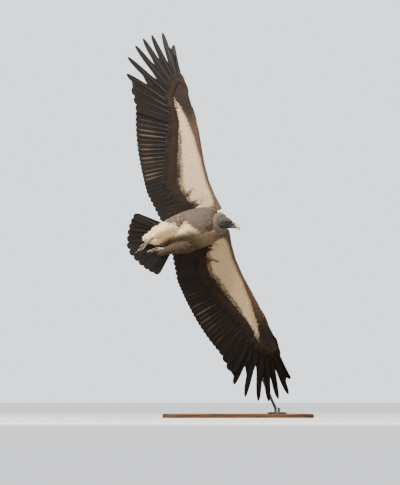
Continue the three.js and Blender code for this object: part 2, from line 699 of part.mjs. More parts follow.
const boardShape = new THREE.Shape();
const halfX = baseSize.x / 2;
const halfY = baseSize.y / 2;
const corner = baseSize.corner;
boardShape.moveTo(-halfX + corner, -halfY);
boardShape.lineTo(halfX - corner, -halfY);
boardShape.absarc(halfX - corner, -halfY + corner, corner, -Math.PI / 2, 0);
boardShape.absarc(halfX - corner, halfY - corner, corner, 0, Math.PI / 2);
boardShape.absarc(-halfX + corner, halfY - corner, corner, Math.PI / 2, Math.PI);
boardShape.absarc(-halfX + corner, -halfY + corner, corner, Math.PI, 1.5 * Math.PI);
const board = new THREE.ExtrudeGeometry(boardShape, {
  depth: baseSize.thickness, bevelEnabled: false, curveSegments: 5,
});
addPiece(display, 'stand_base', board, colours.wood, 0.45);

const flangeProfile = [
  [0, 0], [flangeSize.radius, 0], [flangeSize.radius, flangeSize.height - 2],
  [flangeSize.radius - 2, flangeSize.height], [flangeSize.collarRadius + 4, flangeSize.height],
  [flangeSize.collarRadius, flangeSize.height + 4], [flangeSize.collarRadius, flangeSize.collarHeight],
  [0, flangeSize.collarHeight],
].map(([radius, height]) => new THREE.Vector2(radius, height));
const flange = new THREE.LatheGeometry(flangeProfile, 14);
flange.rotateX(Math.PI / 2);
flange.translate(rodFoot.x, rodFoot.y, baseSize.thickness + gap);
const rodBelow = 60;
const flangeBore = rodBetween(rodRadius + gap, rodBelow);
addPiece(display, 'stand_flange', cutAway(flange, [flangeBore]), colours.steel, 0.35, 1);
const underFlange = new THREE.BoxGeometry(4 * rodBelow, 4 * rodBelow, 4 * rodBelow)
  .translate(rodFoot.x, rodFoot.y, baseSize.thickness + gap - 2 * rodBelow);
const rod = cutAway(rodBetween(rodRadius, rodBelow), [underFlange]);
addPiece(display, 'stand_rod', rod, colours.steel, 0.35, 1);

export default display;
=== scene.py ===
# White-backed vulture, adult, life size, gliding in a steep left bank on a plain display stand.
# The script follows the model as a preparator puts it together: stage and stand, skin, eyes, bill
# and claws, flight feathers, then the coat from the wing tips to the face.
import bmesh
import bpy
import numpy as np
from mathutils import Matrix, Vector
from mathutils.bvhtree import BVHTree


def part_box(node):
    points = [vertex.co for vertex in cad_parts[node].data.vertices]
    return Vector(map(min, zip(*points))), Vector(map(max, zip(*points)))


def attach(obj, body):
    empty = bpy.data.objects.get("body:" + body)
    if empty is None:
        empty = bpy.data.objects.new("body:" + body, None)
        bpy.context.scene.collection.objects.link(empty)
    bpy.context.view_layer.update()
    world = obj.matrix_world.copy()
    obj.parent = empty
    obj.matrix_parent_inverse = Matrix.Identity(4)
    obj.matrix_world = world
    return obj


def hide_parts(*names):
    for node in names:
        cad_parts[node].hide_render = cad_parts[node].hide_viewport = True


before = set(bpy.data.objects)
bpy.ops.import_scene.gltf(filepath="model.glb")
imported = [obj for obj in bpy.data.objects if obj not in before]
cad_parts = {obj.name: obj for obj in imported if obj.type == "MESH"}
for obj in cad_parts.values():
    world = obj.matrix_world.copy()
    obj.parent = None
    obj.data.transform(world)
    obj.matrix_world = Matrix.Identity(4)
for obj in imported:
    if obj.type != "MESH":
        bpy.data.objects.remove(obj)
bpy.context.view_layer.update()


# ---- Stage --------------------------------------------------------------------------------------
# The studio: a wide pale floor that runs into an equally pale background, and a long lens far
# below and in front of the bird, so that it looks up at the underside as from the ground.

def add_object(name, data):
    """An object in the scene's own collection."""
    made = bpy.data.objects.new(name, data)
    bpy.context.scene.collection.objects.link(made)
    return made


def aimed(name, data, place, target):
    """A camera or a lamp at a place, turned towards a point."""
    seat = add_object(name, data)
    seat.location = place
    seat.rotation_euler = (Vector(target) - Vector(place)).to_track_quat("-Z", "Y").to_euler()
    return seat


def add_camera():
    """The lens looks up from just above the floor, far enough away to flatten the wings."""
    camera = bpy.data.cameras.new("camera")
    camera.sensor_fit = "VERTICAL"
    camera.sensor_height = 36
    camera.lens = 332
    camera.clip_end = 200
    bpy.context.scene.camera = aimed("camera", camera, (-0.2115, -25.171, 0.107), (-0.2115, -0.1863, 0.9794))


MIDDLE = (-0.2, -0.2, 1.1)


def add_lamp(name, place, size, watts, colour):
    """A square soft box turned towards the middle of the bird."""
    lamp = bpy.data.lights.new(name, "AREA")
    lamp.shape = "SQUARE"
    lamp.size = size
    lamp.energy = watts
    lamp.color = colour
    aimed(name, lamp, place, MIDDLE)


def set_sockets(node, sockets):
    """Sets constant values on a node's sockets; an underscore stands for the space in a name."""
    for socket, value in sockets.items():
        node.inputs[socket.replace("_", " ")].default_value = value


def new_material(name, **sockets):
    """A Principled material with constant values: itself, its nodes, its links and its shader."""
    material = bpy.data.materials.new(name)
    material.use_nodes = True
    nodes = material.node_tree.nodes
    shader = nodes["Principled BSDF"]
    set_sockets(shader, sockets)
    return material, nodes, material.node_tree.links, shader


def add_node(nodes, kind, **sockets):
    """A shader node with constant values on its sockets."""
    node = nodes.new("ShaderNode" + kind)
    set_sockets(node, sockets)
    return node


def object_place(nodes):
    """The place on the object, as a vector."""
    return nodes.new("ShaderNodeTexCoord").outputs["Object"]


def noise(nodes, links, place, **sockets):
    """Noise laid over a place."""
    texture = add_node(nodes, "TexNoise", **sockets)
    links.new(place, texture.inputs["Vector"])
    return texture.outputs["Fac"]


def colour_ramp(nodes, links, pattern, low, high, start=0.0, end=1.0):
    """A colour that goes from low to high as the pattern goes from start to end."""
    ramp = nodes.new("ShaderNodeValToRGB")
    for element, place, colour in zip(ramp.color_ramp.elements, (start, end), (low, high)):
        element.position = place
        element.color = (*colour, 1)
    links.new(pattern, ramp.inputs["Fac"])
    return ramp.outputs["Color"]


FLOOR_GLOW = 1.1


def add_floor():
    """A pale paper floor that glows for the camera alone, so that it runs into the background."""
    material, nodes, links, shader = new_material("floor_paper", Roughness=0.9,
        Emission_Color=(0.92, 0.95, 1.0, 1))
    grain = noise(nodes, links, object_place(nodes), Scale=3)
    links.new(colour_ramp(nodes, links, grain, (0.30, 0.26, 0.21), (0.34, 0.30, 0.24)),
        shader.inputs["Base Color"])
    seen = nodes.new("ShaderNodeLightPath")
    glow = nodes.new("ShaderNodeMath")
    glow.operation = "MULTIPLY"
    glow.inputs[1].default_value = FLOOR_GLOW
    links.new(seen.outputs["Is Camera Ray"], glow.inputs[0])
    links.new(glow.outputs["Value"], shader.inputs["Emission Strength"])
    bm = bmesh.new()
    bmesh.ops.create_circle(bm, cap_ends=True, segments=64, radius=90)
    mesh = bpy.data.meshes.new("floor")
    bm.to_mesh(mesh)
    mesh.materials.append(material)
    add_object("floor", mesh)


def add_background():
    """A pale glow all round, brighter to the camera than to the bird."""
    world = bpy.data.worlds.new("studio")
    world.use_nodes = True
    nodes, links = world.node_tree.nodes, world.node_tree.links
    set_sockets(nodes["Background"], {"Color": (0.90, 0.94, 1.0, 1)})
    seen = nodes.new("ShaderNodeLightPath")
    level = add_node(nodes, "MapRange", To_Min=0.27, To_Max=1.8)
    links.new(seen.outputs["Is Camera Ray"], level.inputs["Value"])
    links.new(level.outputs["Result"], nodes["Background"].inputs["Strength"])
    bpy.context.scene.world = world


add_camera()
add_floor()
add_background()
add_lamp("key", (-2.3, -3.3, 6.0), 1.2, 1020, (1.0, 0.93, 0.80))
add_lamp("fill", (-0.5, -6.5, 0.9), 3.0, 235, (1.0, 0.87, 0.72))
add_lamp("back", (2.0, 5.0, 4.5), 2.5, 160, (1.0, 0.97, 0.92))


# ---- Stand --------------------------------------------------------------------------------------
# A flat oak board with round corners, and a turned steel flange screwed to it that holds the
# leaning rod. Both keep the sizes of the frame's solids; the board gets a rounded rim.

def link_mesh(bm, name, material, smooth=True):
    """Turns a bmesh into a piece at the origin that rides on the root."""
    mesh = bpy.data.meshes.new(name)
    bm.to_mesh(mesh)
    bm.free()
    mesh.materials.append(material)
    mesh.shade_smooth() if smooth else mesh.shade_flat()
    piece = add_object(name, mesh)
    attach(piece, "root")
    return piece


def stretched_noise(nodes, links, stretch, **sockets):
    """Noise drawn out along one side of the object."""
    mapping = add_node(nodes, "Mapping", Scale=stretch)
    links.new(object_place(nodes), mapping.inputs["Vector"])
    return noise(nodes, links, mapping.outputs["Vector"], **sockets)


def add_bump(nodes, links, shader, pattern, strength, distance):
    """Relief from a pattern."""
    bump = add_node(nodes, "Bump", Strength=strength, Distance=distance)
    links.new(pattern, bump.inputs["Height"])
    links.new(bump.outputs["Normal"], shader.inputs["Normal"])


def oak():
    """Stained oak: long wavy grain along x, fine dark pores, a dull varnish."""
    material, nodes, links, shader = new_material("stained_oak", Roughness=0.62, Specular_IOR_Level=0.3)
    grain = stretched_noise(nodes, links, (1.2, 14, 14), Scale=5, Detail=9, Distortion=0.7)
    colour = colour_ramp(nodes, links, grain, (0.052, 0.025, 0.012), (0.165, 0.088, 0.042), 0.34, 0.68)
    links.new(colour, shader.inputs["Base Color"])
    add_bump(nodes, links, shader, grain, 0.15, 0.0006)
    return material


def steel():
    """Brushed steel with faint streaks."""
    material, nodes, links, shader = new_material("brushed_steel", Metallic=1.0)
    streaks = stretched_noise(nodes, links, (160, 160, 6), Scale=4)
    colour = colour_ramp(nodes, links, streaks, (0.33, 0.34, 0.35), (0.50, 0.50, 0.51))
    rough = add_node(nodes, "MapRange", To_Min=0.28, To_Max=0.42)
    links.new(colour, shader.inputs["Base Color"])
    links.new(streaks, rough.inputs["Value"])
    links.new(rough.outputs["Result"], shader.inputs["Roughness"])
    return material


def rounded(bm, edges, offset, segments):
    """Rounds some edges of a bmesh."""
    bmesh.ops.bevel(bm, geom=edges, offset=offset, offset_type="OFFSET", segments=segments, profile=0.5,
        affect="EDGES", material=-1)


def stand_board():
    """The board: a plate cut to the frame's size, its corners and then its rims rounded."""
    low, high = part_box("stand_base")
    corner, rim = 0.060, 0.005
    bm = bmesh.new()
    size = high - low
    bmesh.ops.create_cube(bm, size=1,
        matrix=Matrix.Translation((low + high) / 2) @ Matrix.Diagonal((*size, 1)))
    upright = [e for e in bm.edges if abs(e.verts[0].co.z - e.verts[1].co.z) > size.z / 2]
    rounded(bm, upright, corner, 12)
    top = [e for e in bm.edges if min(v.co.z for v in e.verts) > high.z - 1e-5]
    rounded(bm, top, rim, 4)
    board = link_mesh(bm, "display_board", oak(), smooth=False)
    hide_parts("stand_base")


def rod_line():
    """The rod's lower and upper end, from the two ends of its solid."""
    co = np.array([v.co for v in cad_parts["stand_rod"].data.vertices])
    order = co[:, 2].argsort()
    return Vector(co[order[:12]].mean(0)), Vector(co[order[-12:]].mean(0))


def stand_rod(metal):
    """A straight round bar between the two ends of its solid."""
    radius, sides = 0.008, 40
    foot, top = rod_line()
    along = top - foot
    bm = bmesh.new()
    bmesh.ops.create_cone(bm, cap_ends=True, segments=sides, radius1=radius, radius2=radius,
        depth=along.length, matrix=Matrix.Translation((foot + top) / 2)
        @ along.to_track_quat("Z", "Y").to_matrix().to_4x4())
    rod = link_mesh(bm, "display_rod", metal)
    rod.data.set_sharp_from_angle(angle=0.7)
    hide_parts("stand_rod")


def stand_flange(metal):
    """A turned flange with its collar, and three countersunk screws."""
    low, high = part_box("stand_flange")
    centre = Vector(((low.x + high.x) / 2, (low.y + high.y) / 2, low.z))
    profile = [(0.0085, 0.0), (0.0545, 0.0), (0.055, 0.0008), (0.055, 0.0062), (0.0538, 0.0078),
        (0.0525, 0.008), (0.021, 0.008), (0.018, 0.0095), (0.017, 0.012), (0.017, 0.032),
        (0.0155, 0.034), (0.0085, 0.034)]
    bm = bmesh.new()
    verts = [bm.verts.new(centre + Vector((r, 0, z))) for r, z in profile]
    edges = [bm.edges.new(pair) for pair in zip(verts, verts[1:] + verts[:1])]
    bmesh.ops.spin(bm, geom=verts + edges, cent=centre, axis=(0, 0, 1), angle=2 * np.pi,
        steps=48, use_merge=True)
    bmesh.ops.remove_doubles(bm, verts=bm.verts[:], dist=1e-6)
    screw_circle, screw_height = 0.039, 0.0086
    for turn in (0.4, 2.494, 4.589):
        seat = centre + Vector((screw_circle * np.cos(turn), screw_circle * np.sin(turn), screw_height))
        bmesh.ops.create_cone(bm, cap_ends=True, segments=24, radius1=0.0058, radius2=0.0044,
            depth=0.0016, matrix=Matrix.Translation(seat))
    bmesh.ops.recalc_face_normals(bm, faces=bm.faces[:])
    flange = link_mesh(bm, "display_flange", metal)
    flange.data.set_sharp_from_angle(angle=0.6)
    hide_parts("stand_flange")


stand_board()
brushed = steel()
stand_rod(brushed)
stand_flange(brushed)


# ---- Bird's plan --------------------------------------------------------------------------------
# The spread wing, the tail and the trunk as the frame's solids are drawn: x forward, y to the
# bird's left, z to its back, origin midway between the shoulders; the head has its own such frame.

MM = 0.001


def turned(heading, nose_down, bank):
    """Rotation of a body that is banked, then pitched, then headed, in degrees."""
    turn = Matrix.Rotation(np.radians(heading), 3, "Z") @ Matrix.Rotation(np.radians(nose_down), 3, "Y")
    return np.array(turn @ Matrix.Rotation(np.radians(bank), 3, "X"))


bird_turn = turned(-22.9, -14.1, -75.2)
bird_place = np.array((-0.150, -0.190, 1.085))
head_turn = turned(-21, 16, 6)


def bird_to_display(points):
    return points @ bird_turn.T + bird_place


def display_to_bird(points):
    return (points - bird_place) @ bird_turn


head_place = bird_to_display(np.array((0.114, 0.013, -0.066)))


def head_to_bird(points):
    return display_to_bird(points @ head_turn.T + head_place)


def bird_to_head(points):
    return (bird_to_display(points) - head_place) @ head_turn


SHOULDER, ELBOW = np.array((0, 65)) * MM, np.array((-95, 280)) * MM
WRIST, HAND_END = np.array((70, 538)) * MM, np.array((74, 722)) * MM
WING_SWING, HAND_SWING = 0.5, 2.5
VANE_START = 0.24
LEADING_EDGE = np.array([(60, 95), (110, 80), (230, 66), (330, 69), (430, 82), (520, 94), (620, 96),
    (735, 93)]) * MM


def span_height(y):
    """Rise of the spread wing above the shoulders."""
    out = np.maximum(y - 0.070, 0)
    past = np.maximum(out - 0.450, 0)
    return 0.12 * np.minimum(out, 0.450) + 0.16 * past + 0.25 * past * past


def swing(point, centre, degrees):
    """Turns a plan point forward about a centre."""
    c, s = np.cos(np.radians(degrees)), np.sin(np.radians(degrees))
    x, y = (point - centre).T
    return np.stack((c * x + s * y, c * y - s * x), -1) + centre


class Quill:
    """A flight feather's shaft: root, direction back from the wing's line, length and rise."""

    def __init__(self, kind, number, root, angle, length, rise):
        self.kind, self.number, self.root, self.length, self.rise = kind, number, root, length, rise
        self.direction = np.array((-np.sin(np.radians(angle)), np.cos(np.radians(angle))))
        self.aside = np.array((self.direction[1], -self.direction[0], 0))

    def at(self, t):
        """Point of the shaft at a part of its length."""
        t = np.asarray(t, float)[..., None]
        out = np.sqrt(self.length ** 2 - self.rise ** 2)
        plan = self.root + self.direction * out * t
        height = span_height(self.root[1]) + self.rise * (0.45 * t + 0.55 * t * t)
        return np.concatenate((plan, height), -1)


class Wing:
    """One wing drawn as a left wing; mirror is -1 on the right one."""

    def __init__(self, mirror, fan_turn):
        self.mirror = mirror
        wing, hand = WING_SWING * mirror, HAND_SWING * mirror
        self.elbow = swing(ELBOW, SHOULDER, wing)
        self.wrist = swing(WRIST, SHOULDER, wing)
        self.hand_end = swing(swing(HAND_END, SHOULDER, wing), self.wrist, hand)
        self.quills = []
        for i in reversed(range(6)):
            root = self.elbow + (SHOULDER - self.elbow) * (i + 0.5) / 9
            self.quills.append(Quill("tertial", i, root, np.interp(i, (0, 5), (95, 100)),
                np.interp(i, (0, 5), (0.221, 0.250)), -0.014))
        for i in reversed(range(18)):
            root = self.wrist + (self.elbow - self.wrist) * (i + 0.5) / 18
            angle = np.interp(i, (0, 17), (60.5, 94))
            length = np.interp(i, (0, 17), (0.366, 0.222))
            tip_y = root[1] + length * np.cos(np.radians(angle))
            rise = span_height(tip_y) - span_height(root[1]) - 0.014 * i / 18
            self.quills.append(Quill("secondary", i, root, angle, length, rise))
        lengths = np.array((364, 378, 400, 456, 495, 491, 475, 450, 418, 316)) * MM
        angles = (58.5, 53, 48, 42.4, 34.2, 26.8, 21.2, 16, 9, 4.4)
        roots = (0.08, 0.17, 0.26, 0.35, 0.45, 0.56, 0.68, 0.79, 0.89, 0.97)
        for i in range(10):
            root = self.wrist + (self.hand_end - self.wrist) * roots[i]
            rise = lengths[i] * np.sin(np.radians(5 + 0.24 * i * i))
            angle = angles[i] + min(i / 3, 1) * fan_turn
            self.quills.append(Quill("primary", i, root, angle, lengths[i], rise))
        self.draw_arm(wing, hand)

    def draw_arm(self, wing, hand):
        """Front and rear line of the arm's outline at each seam between two quills."""
        quills = self.quills
        roots = np.array([q.root[1] for q in quills])
        bone = np.concatenate(((SHOULDER[1], roots[0]), (roots[:-1] + roots[1:]) / 2, (roots[-1],)))
        edge = np.stack((np.interp(bone, *LEADING_EDGE.T), bone), -1)
        inner = swing(edge, SHOULDER, wing)
        self.front = np.where(bone[:, None] > WRIST[1], swing(inner, self.wrist, hand), inner)
        seams = [quills[0].at(VANE_START) - quills[0].aside * 0.048]
        seams += [(a.at(VANE_START) + b.at(VANE_START)) / 2 for a, b in zip(quills, quills[1:])]
        seams.append(quills[-1].at(VANE_START) + quills[-1].aside * 0.017)
        self.rear = np.array([seams[0]] + seams)
        self.rear[0, 1] = SHOULDER[1]
        self.bone, self.steps = bone, np.arange(len(bone)) - 1.0
        joints = (SHOULDER[1], ELBOW[1], WRIST[1], HAND_END[1])
        self.thick = np.interp(bone, joints, np.array((30, 19, 13, 6)) * MM)

    def seam_at(self, y):
        """Seam number at a distance out along the wing."""
        return np.interp(y, self.bone, self.steps)

    def arm(self, seam, chord, level):
        """Point of the arm's outline: seam counts quills, chord 0 front to 1 rear, level 1 top."""
        seam, chord, level = np.broadcast_arrays(np.asarray(seam, float), chord, level)
        take = lambda values: np.interp(seam, self.steps, values)
        height = span_height(take(self.bone)) - 0.005
        front = np.stack((take(self.front[:, 0]), take(self.front[:, 1]), height), -1)
        rear = np.stack([take(self.rear[:, k]) for k in range(3)], -1)
        a = np.clip(chord, 0, 1)
        half = 0.0035 * a + take(self.thick) * 1.87 * np.sqrt(a) * (1 - a) ** 1.3
        point = front + (rear - front) * chord[..., None]
        point[..., 2] += 0.009 * np.sin(np.pi * a) + level * half
        return point

    def place(self, points):
        """From the left wing's drawing to the bird's frame."""
        return points * (1, self.mirror, 1)


wings = {"left": Wing(1, 0.4), "right": Wing(-1, 0.8)}

TRUNK = np.array([(72, 46, -37, 42), (58, 67, -36, 58), (36, 84, -37, 74), (0, 100, -39, 88),
    (-50, 110, -43, 93), (-110, 112, -45, 92), (-170, 106, -43, 84), (-220, 95, -39, 70),
    (-264, 79, -33, 53), (-302, 58, -27, 37), (-338, 32, -22, 20)])[::-1] * MM


def trunk_section(x):
    """Half width, middle height and half height of the trunk at x."""
    return [np.interp(x, TRUNK[:, 0], TRUNK[:, k]) for k in (1, 2, 3)]


def trunk_point(x, turn):
    """Point of the trunk's outline at x; turn 0 is the left side and a quarter turn the back."""
    width, middle, height = trunk_section(x)
    return np.stack((x + 0 * turn, width * np.cos(turn), middle + height * np.sin(turn)), -1)


# Knee, heel, ball of the foot and end of the feathering.
LEGS = {
    "left": np.array(((-120, 68, -88), (-222, 62, -98), (-303, 46, -101), (-304, 68, -90))) * MM,
    "right": np.array(((-120, -66, -88), (-268, -51, -104), (-352, -13, -92), (-312, -34, -98))) * MM,
}


# ---- Skin ---------------------------------------------------------------------------------------
# One skin covers trunk, neck, head, arms, legs and feet without a seam. On a mounted bird it is
# the tanned hide over a carved body; it lies inside the frame's outline by the coat's depth, and
# only the face, the feet and the shanks show it bare.

def ring_loft(bm, rings, segments):
    """Closed tube through rings, each a centre with its half-axis vectors across and up."""
    loops = []
    for place, across, up in rings:
        facing = np.cross(across, up)
        frame_of_ring = Matrix(np.column_stack((across, up, facing / np.linalg.norm(facing))).tolist())
        ring = bmesh.ops.create_circle(bm, segments=segments, radius=1,
            matrix=Matrix.Translation(Vector(place)) @ frame_of_ring.to_4x4())
        loops.append(ring["verts"])
    for one, other in zip(loops, loops[1:]):
        edges = {e for v in one + other for e in v.link_edges
            if all(w in one for w in e.verts) or all(w in other for w in e.verts)}
        bmesh.ops.bridge_loops(bm, edges=list(edges))
    for end in (loops[0], loops[-1]):
        bmesh.ops.contextual_create(bm, geom=end)


def curve_through(rows, count):
    """Even steps along a smooth (Catmull-Rom) curve through rows of values."""
    rows = np.asarray(rows, float)
    padded = np.vstack((2 * rows[0] - rows[1], rows, 2 * rows[-1] - rows[-2]))
    u = np.linspace(0, len(rows) - 1, count)
    i = np.minimum(u.astype(int), len(rows) - 2)
    t = (u - i)[:, None]
    a, b, c, d = (padded[i + k] for k in range(4))
    return 0.5 * (2 * b + (c - a) * t + (2 * a - 5 * b + 4 * c - d) * t ** 2
        + (3 * b - a - 3 * c + d) * t ** 3)


def unit(vectors):
    """Vectors of length one."""
    return vectors / np.maximum(np.linalg.norm(vectors, axis=-1, keepdims=True), 1e-12)


def limb_rings(points, radii, steps, across=None):
    """Rings of a round limb along a smooth path."""
    path = curve_through(np.column_stack((points, radii)), steps)
    along = unit(np.gradient(path[:, :3], axis=0))
    if across is None:
        across = unit(np.cross((0.0, 0.0, 1.0), along))
    else:
        across = np.tile(across, (steps, 1))
    up = np.cross(along, across)
    return [(p[:3], a * p[3], u * p[3]) for p, a, u in zip(path, across, up)]


def rebuilt(bm, voxel, smoothing):
    """The union of the closed shapes in a bmesh as one evenly meshed, smoothed surface."""
    mesh = bpy.data.meshes.new("rebuilt")
    bmesh.ops.recalc_face_normals(bm, faces=bm.faces[:])
    bm.to_mesh(mesh)
    bm.free()
    shape = add_object("rebuilt", mesh)
    remesh = shape.modifiers.new("remesh", "REMESH")
    remesh.mode = "VOXEL"
    remesh.voxel_size = voxel
    soften = shape.modifiers.new("soften", "SMOOTH")
    soften.iterations = smoothing
    settle(shape)
    return shape


def settle(shape):
    """Applies a shape's modifiers."""
    evaluated = shape.evaluated_get(bpy.context.evaluated_depsgraph_get())
    mesh = bpy.data.meshes.new_from_object(evaluated)
    shape.modifiers.clear()
    shape.data = mesh


def vertices_of(mesh):
    """Places and normals of a mesh's vertices."""
    both = []
    for name in ("co", "normal"):
        values = np.empty(len(mesh.vertices) * 3, np.float32)
        mesh.vertices.foreach_get(name, values)
        both.append(values.reshape(-1, 3).astype(float))
    return both


def move_vertices(mesh, co):
    """Sets the places of a mesh's vertices."""
    mesh.vertices.foreach_set("co", np.ascontiguousarray(co, np.float32).ravel())
    mesh.update()


def smooth_step(low, high, value):
    """0 at low and 1 at high with a smooth rise between; low may be the greater."""
    t = np.clip((value - low) / (high - low), 0, 1)
    return t * t * (3 - 2 * t)


FLESH = ["trunk", "neck"] + [part + side for side in ("_left", "_right")
    for part in ("upperarm", "forearm", "hand", "thigh")]


def coat_outline():
    """The frame's flesh solids joined, in the bird's frame: the outline that the coat fills."""
    bm = bmesh.new()
    for node in FLESH:
        single = bmesh.new()
        single.from_mesh(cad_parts[node].data)
        bmesh.ops.remove_doubles(single, verts=single.verts[:], dist=1e-5)
        single.normal_update()
        for v in single.verts:
            v.co = v.co + v.normal * 0.0005
        part = bpy.data.meshes.new(node)
        single.to_mesh(part)
        single.free()
        bm.from_mesh(part)
    shape = rebuilt(bm, 0.006, 3)
    move_vertices(shape.data, display_to_bird(vertices_of(shape.data)[0]))
    return shape


def body_skin(outline):
    """The outline moved in by the coat's depth, less where the arm is thin."""
    co, normal = vertices_of(outline.data)
    reach = np.full(len(co), 0.2)
    for k in range(len(co)):
        start = Vector(co[k] - normal[k] * 0.0004)
        hit = outline_tree.ray_cast(start, Vector(-normal[k]), 0.2)
        if hit[3] is not None:
            reach[k] = hit[3]
    x, y = co[:, 0], np.abs(co[:, 1])
    on_arm = smooth_step(0.085, 0.125, y) * smooth_step(-0.09, -0.07, co[:, 2])
    depth = 0.013 - 0.007 * on_arm - 0.007 * smooth_step(0.03, 0.08, x)
    on_leg = (co[:, 2] < -0.075) & (x < -0.15)
    depth = np.where(on_leg, depth * (1 - 0.7 * smooth_step(-0.15, -0.23, x)), depth)
    move_vertices(outline.data, co - normal * np.minimum(depth, 0.40 * reach)[:, None])
    soften = outline.modifiers.new("soften", "SMOOTH")
    soften.iterations = 2
    settle(outline)


SKULL = np.array([(-45, 0, 12, 10), (-40, 0.5, 21, 16), (-28, 2, 28, 22), (-12, 2.5, 31, 24.5),
    (5, 1.5, 30, 24), (18, 0, 27, 21.5), (28, -1, 23, 17), (35, -2, 19.5, 13.2), (39, -2.5, 18, 11.4)]) * MM
EYE, EYE_RADIUS = np.array((14, 15.4, 5)) * MM, 0.008


def head_and_neck():
    """Skull, jaw, brows and neck of one hide, in the bird's frame."""
    bm = bmesh.new()
    _, side, up = np.eye(3)
    crown = curve_through(SKULL, 34)
    rings = [((x, 0, z), side * (w - 0.0008), up * (h - 0.0010)) for x, z, h, w in crown]
    ring_loft(bm, rings, 48)
    for y in (-1, 1):
        brow = (Matrix.Translation((0.016, 0.0165 * y, 0.0152)) @ Matrix.Rotation(0.14 * y, 4, "Z")
            @ Matrix.Rotation(0.12, 4, "Y") @ Matrix.Diagonal((0.0155, 0.0042, 0.0042, 1)))
        cheek = Matrix.Translation((-0.008, 0.0130 * y, -0.012)) @ Matrix.Diagonal((0.020, 0.0100, 0.0130, 1))
        gape = (Matrix.Translation((0.028, 0.0098 * y, -0.0105)) @ Matrix.Rotation(0.10 * y, 4, "Z")
            @ Matrix.Diagonal((0.0130, 0.0042, 0.0050, 1)))
        for place in (brow, cheek, gape):
            bmesh.ops.create_uvsphere(bm, u_segments=24, v_segments=16, radius=1, matrix=place)
    nape = np.array((-28, 0, -2)) * MM
    start = bird_to_head(np.array(((-5, 0, -36), (30, 0, -36), (64, 1, -42))) * MM)
    line = np.vstack((start, nape, (-0.010, 0, 0.0)))
    ring_loft(bm, limb_rings(line, np.array((36, 32, 28, 19.5, 17)) * MM, 30), 40)
    shape = rebuilt(bm, 0.0013, 3)
    refine_round_eyes(shape)
    co, normal = vertices_of(shape.data)
    move_vertices(shape.data, head_to_bird(fold_face(co, normal)))
    return shape


def refine_round_eyes(shape):
    """Two finer levels of faces where the lids are."""
    bm = bmesh.new()
    bm.from_mesh(shape.data)
    for reach in (0.0125, 0.0095):
        near = {e for v in bm.verts if np.hypot(v.co.x - EYE[0], v.co.z - EYE[2]) < reach
            and abs(v.co.y) > 0.010 for e in v.link_edges}
        bmesh.ops.subdivide_edges(bm, edges=list(near), cuts=1, use_grid_fill=True)
    bm.to_mesh(shape.data)
    bm.free()


def fold_face(co, normal):
    """Lids, orbit, ear, gape and the loose folds of throat and nape, in the head's frame."""
    x, y, z = co.T
    push = np.zeros(len(co))
    bare = smooth_step(-0.060, -0.030, x)
    folds = np.sin(x * 780 + 1.4 * np.sin(z * 150)) * smooth_step(0.008, -0.030, x)
    push += 0.00055 * folds * smooth_step(0.030, 0.0, z)
    push += 0.00022 * np.sin(z * 2600 + 2.2 * np.sin(x * 420)) * smooth_step(-0.004, -0.018, z) * bare
    push += 0.00012 * np.sin(x * 3100 + 3 * np.sin(z * 700)) * np.sin(z * 2700 + 2 * np.sin(x * 900)) * bare
    gape_line = -0.0095 - 0.12 * (0.034 - x)
    push -= 0.0016 * np.exp(-((z - gape_line) / 0.0011) ** 2) * smooth_step(0.008, 0.014, x)
    ear = np.hypot((x + 0.0165) / 0.0034, (z + 0.0045) / 0.0048)
    push += 0.0008 * np.exp(-((ear - 1.25) / 0.28) ** 2) - 0.0045 * smooth_step(1.0, 0.45, ear)
    lore = np.hypot((x - 0.0285) / 0.0085, (z - 0.0045) / 0.0060)
    push -= 0.0011 * smooth_step(1.0, 0.2, lore) * (np.abs(y) > 0.004)
    return set_lids(co + normal * push[:, None])


def set_lids(co):
    """Lays the hide round each eye on the ball as two lids with a thick rim."""
    side = np.sign(co[:, 1])
    along = co[:, 0] - EYE[0]
    over = co[:, 2] - EYE[2]
    tilt = np.radians(8)
    u = along * np.cos(tilt) - over * np.sin(tilt)
    v = over * np.cos(tilt) + along * np.sin(tilt)
    rho = np.hypot(u / 0.0064, np.where(v > 0, v / 0.0049, v / 0.0054))
    near = (np.abs(co[:, 1]) > 0.009) & (rho < 2.6)

    def ball(radius):
        return EYE[1] + np.sqrt(np.maximum(radius ** 2 - along ** 2 - over ** 2, 0))

    rim = ball(EYE_RADIUS + 0.0011 + 0.0004 * np.exp(-((rho - 1.12) / 0.10) ** 2))
    hidden = ball(EYE_RADIUS - 0.0012)
    lid = np.where(rho < 1, hidden, rim)
    orbit = np.abs(co[:, 1]) - 0.0010 * smooth_step(2.6, 1.7, rho)
    crease = 0.0006 * np.exp(-((rho - 1.55) / 0.12) ** 2)
    blend = smooth_step(1.35, 1.95, rho)
    depth = lid * (1 - blend) + orbit * blend - crease
    out = co.copy()
    out[near, 1] = (side * depth)[near]
    return out


TOES = ((78, 0, 6, 6.2), (54, 11, 4, 5.6), (46, -12, 4, 5.6), (30, -48, 0, 5.2))
TOE_CURL = {"left": 1.7, "right": 0.25}


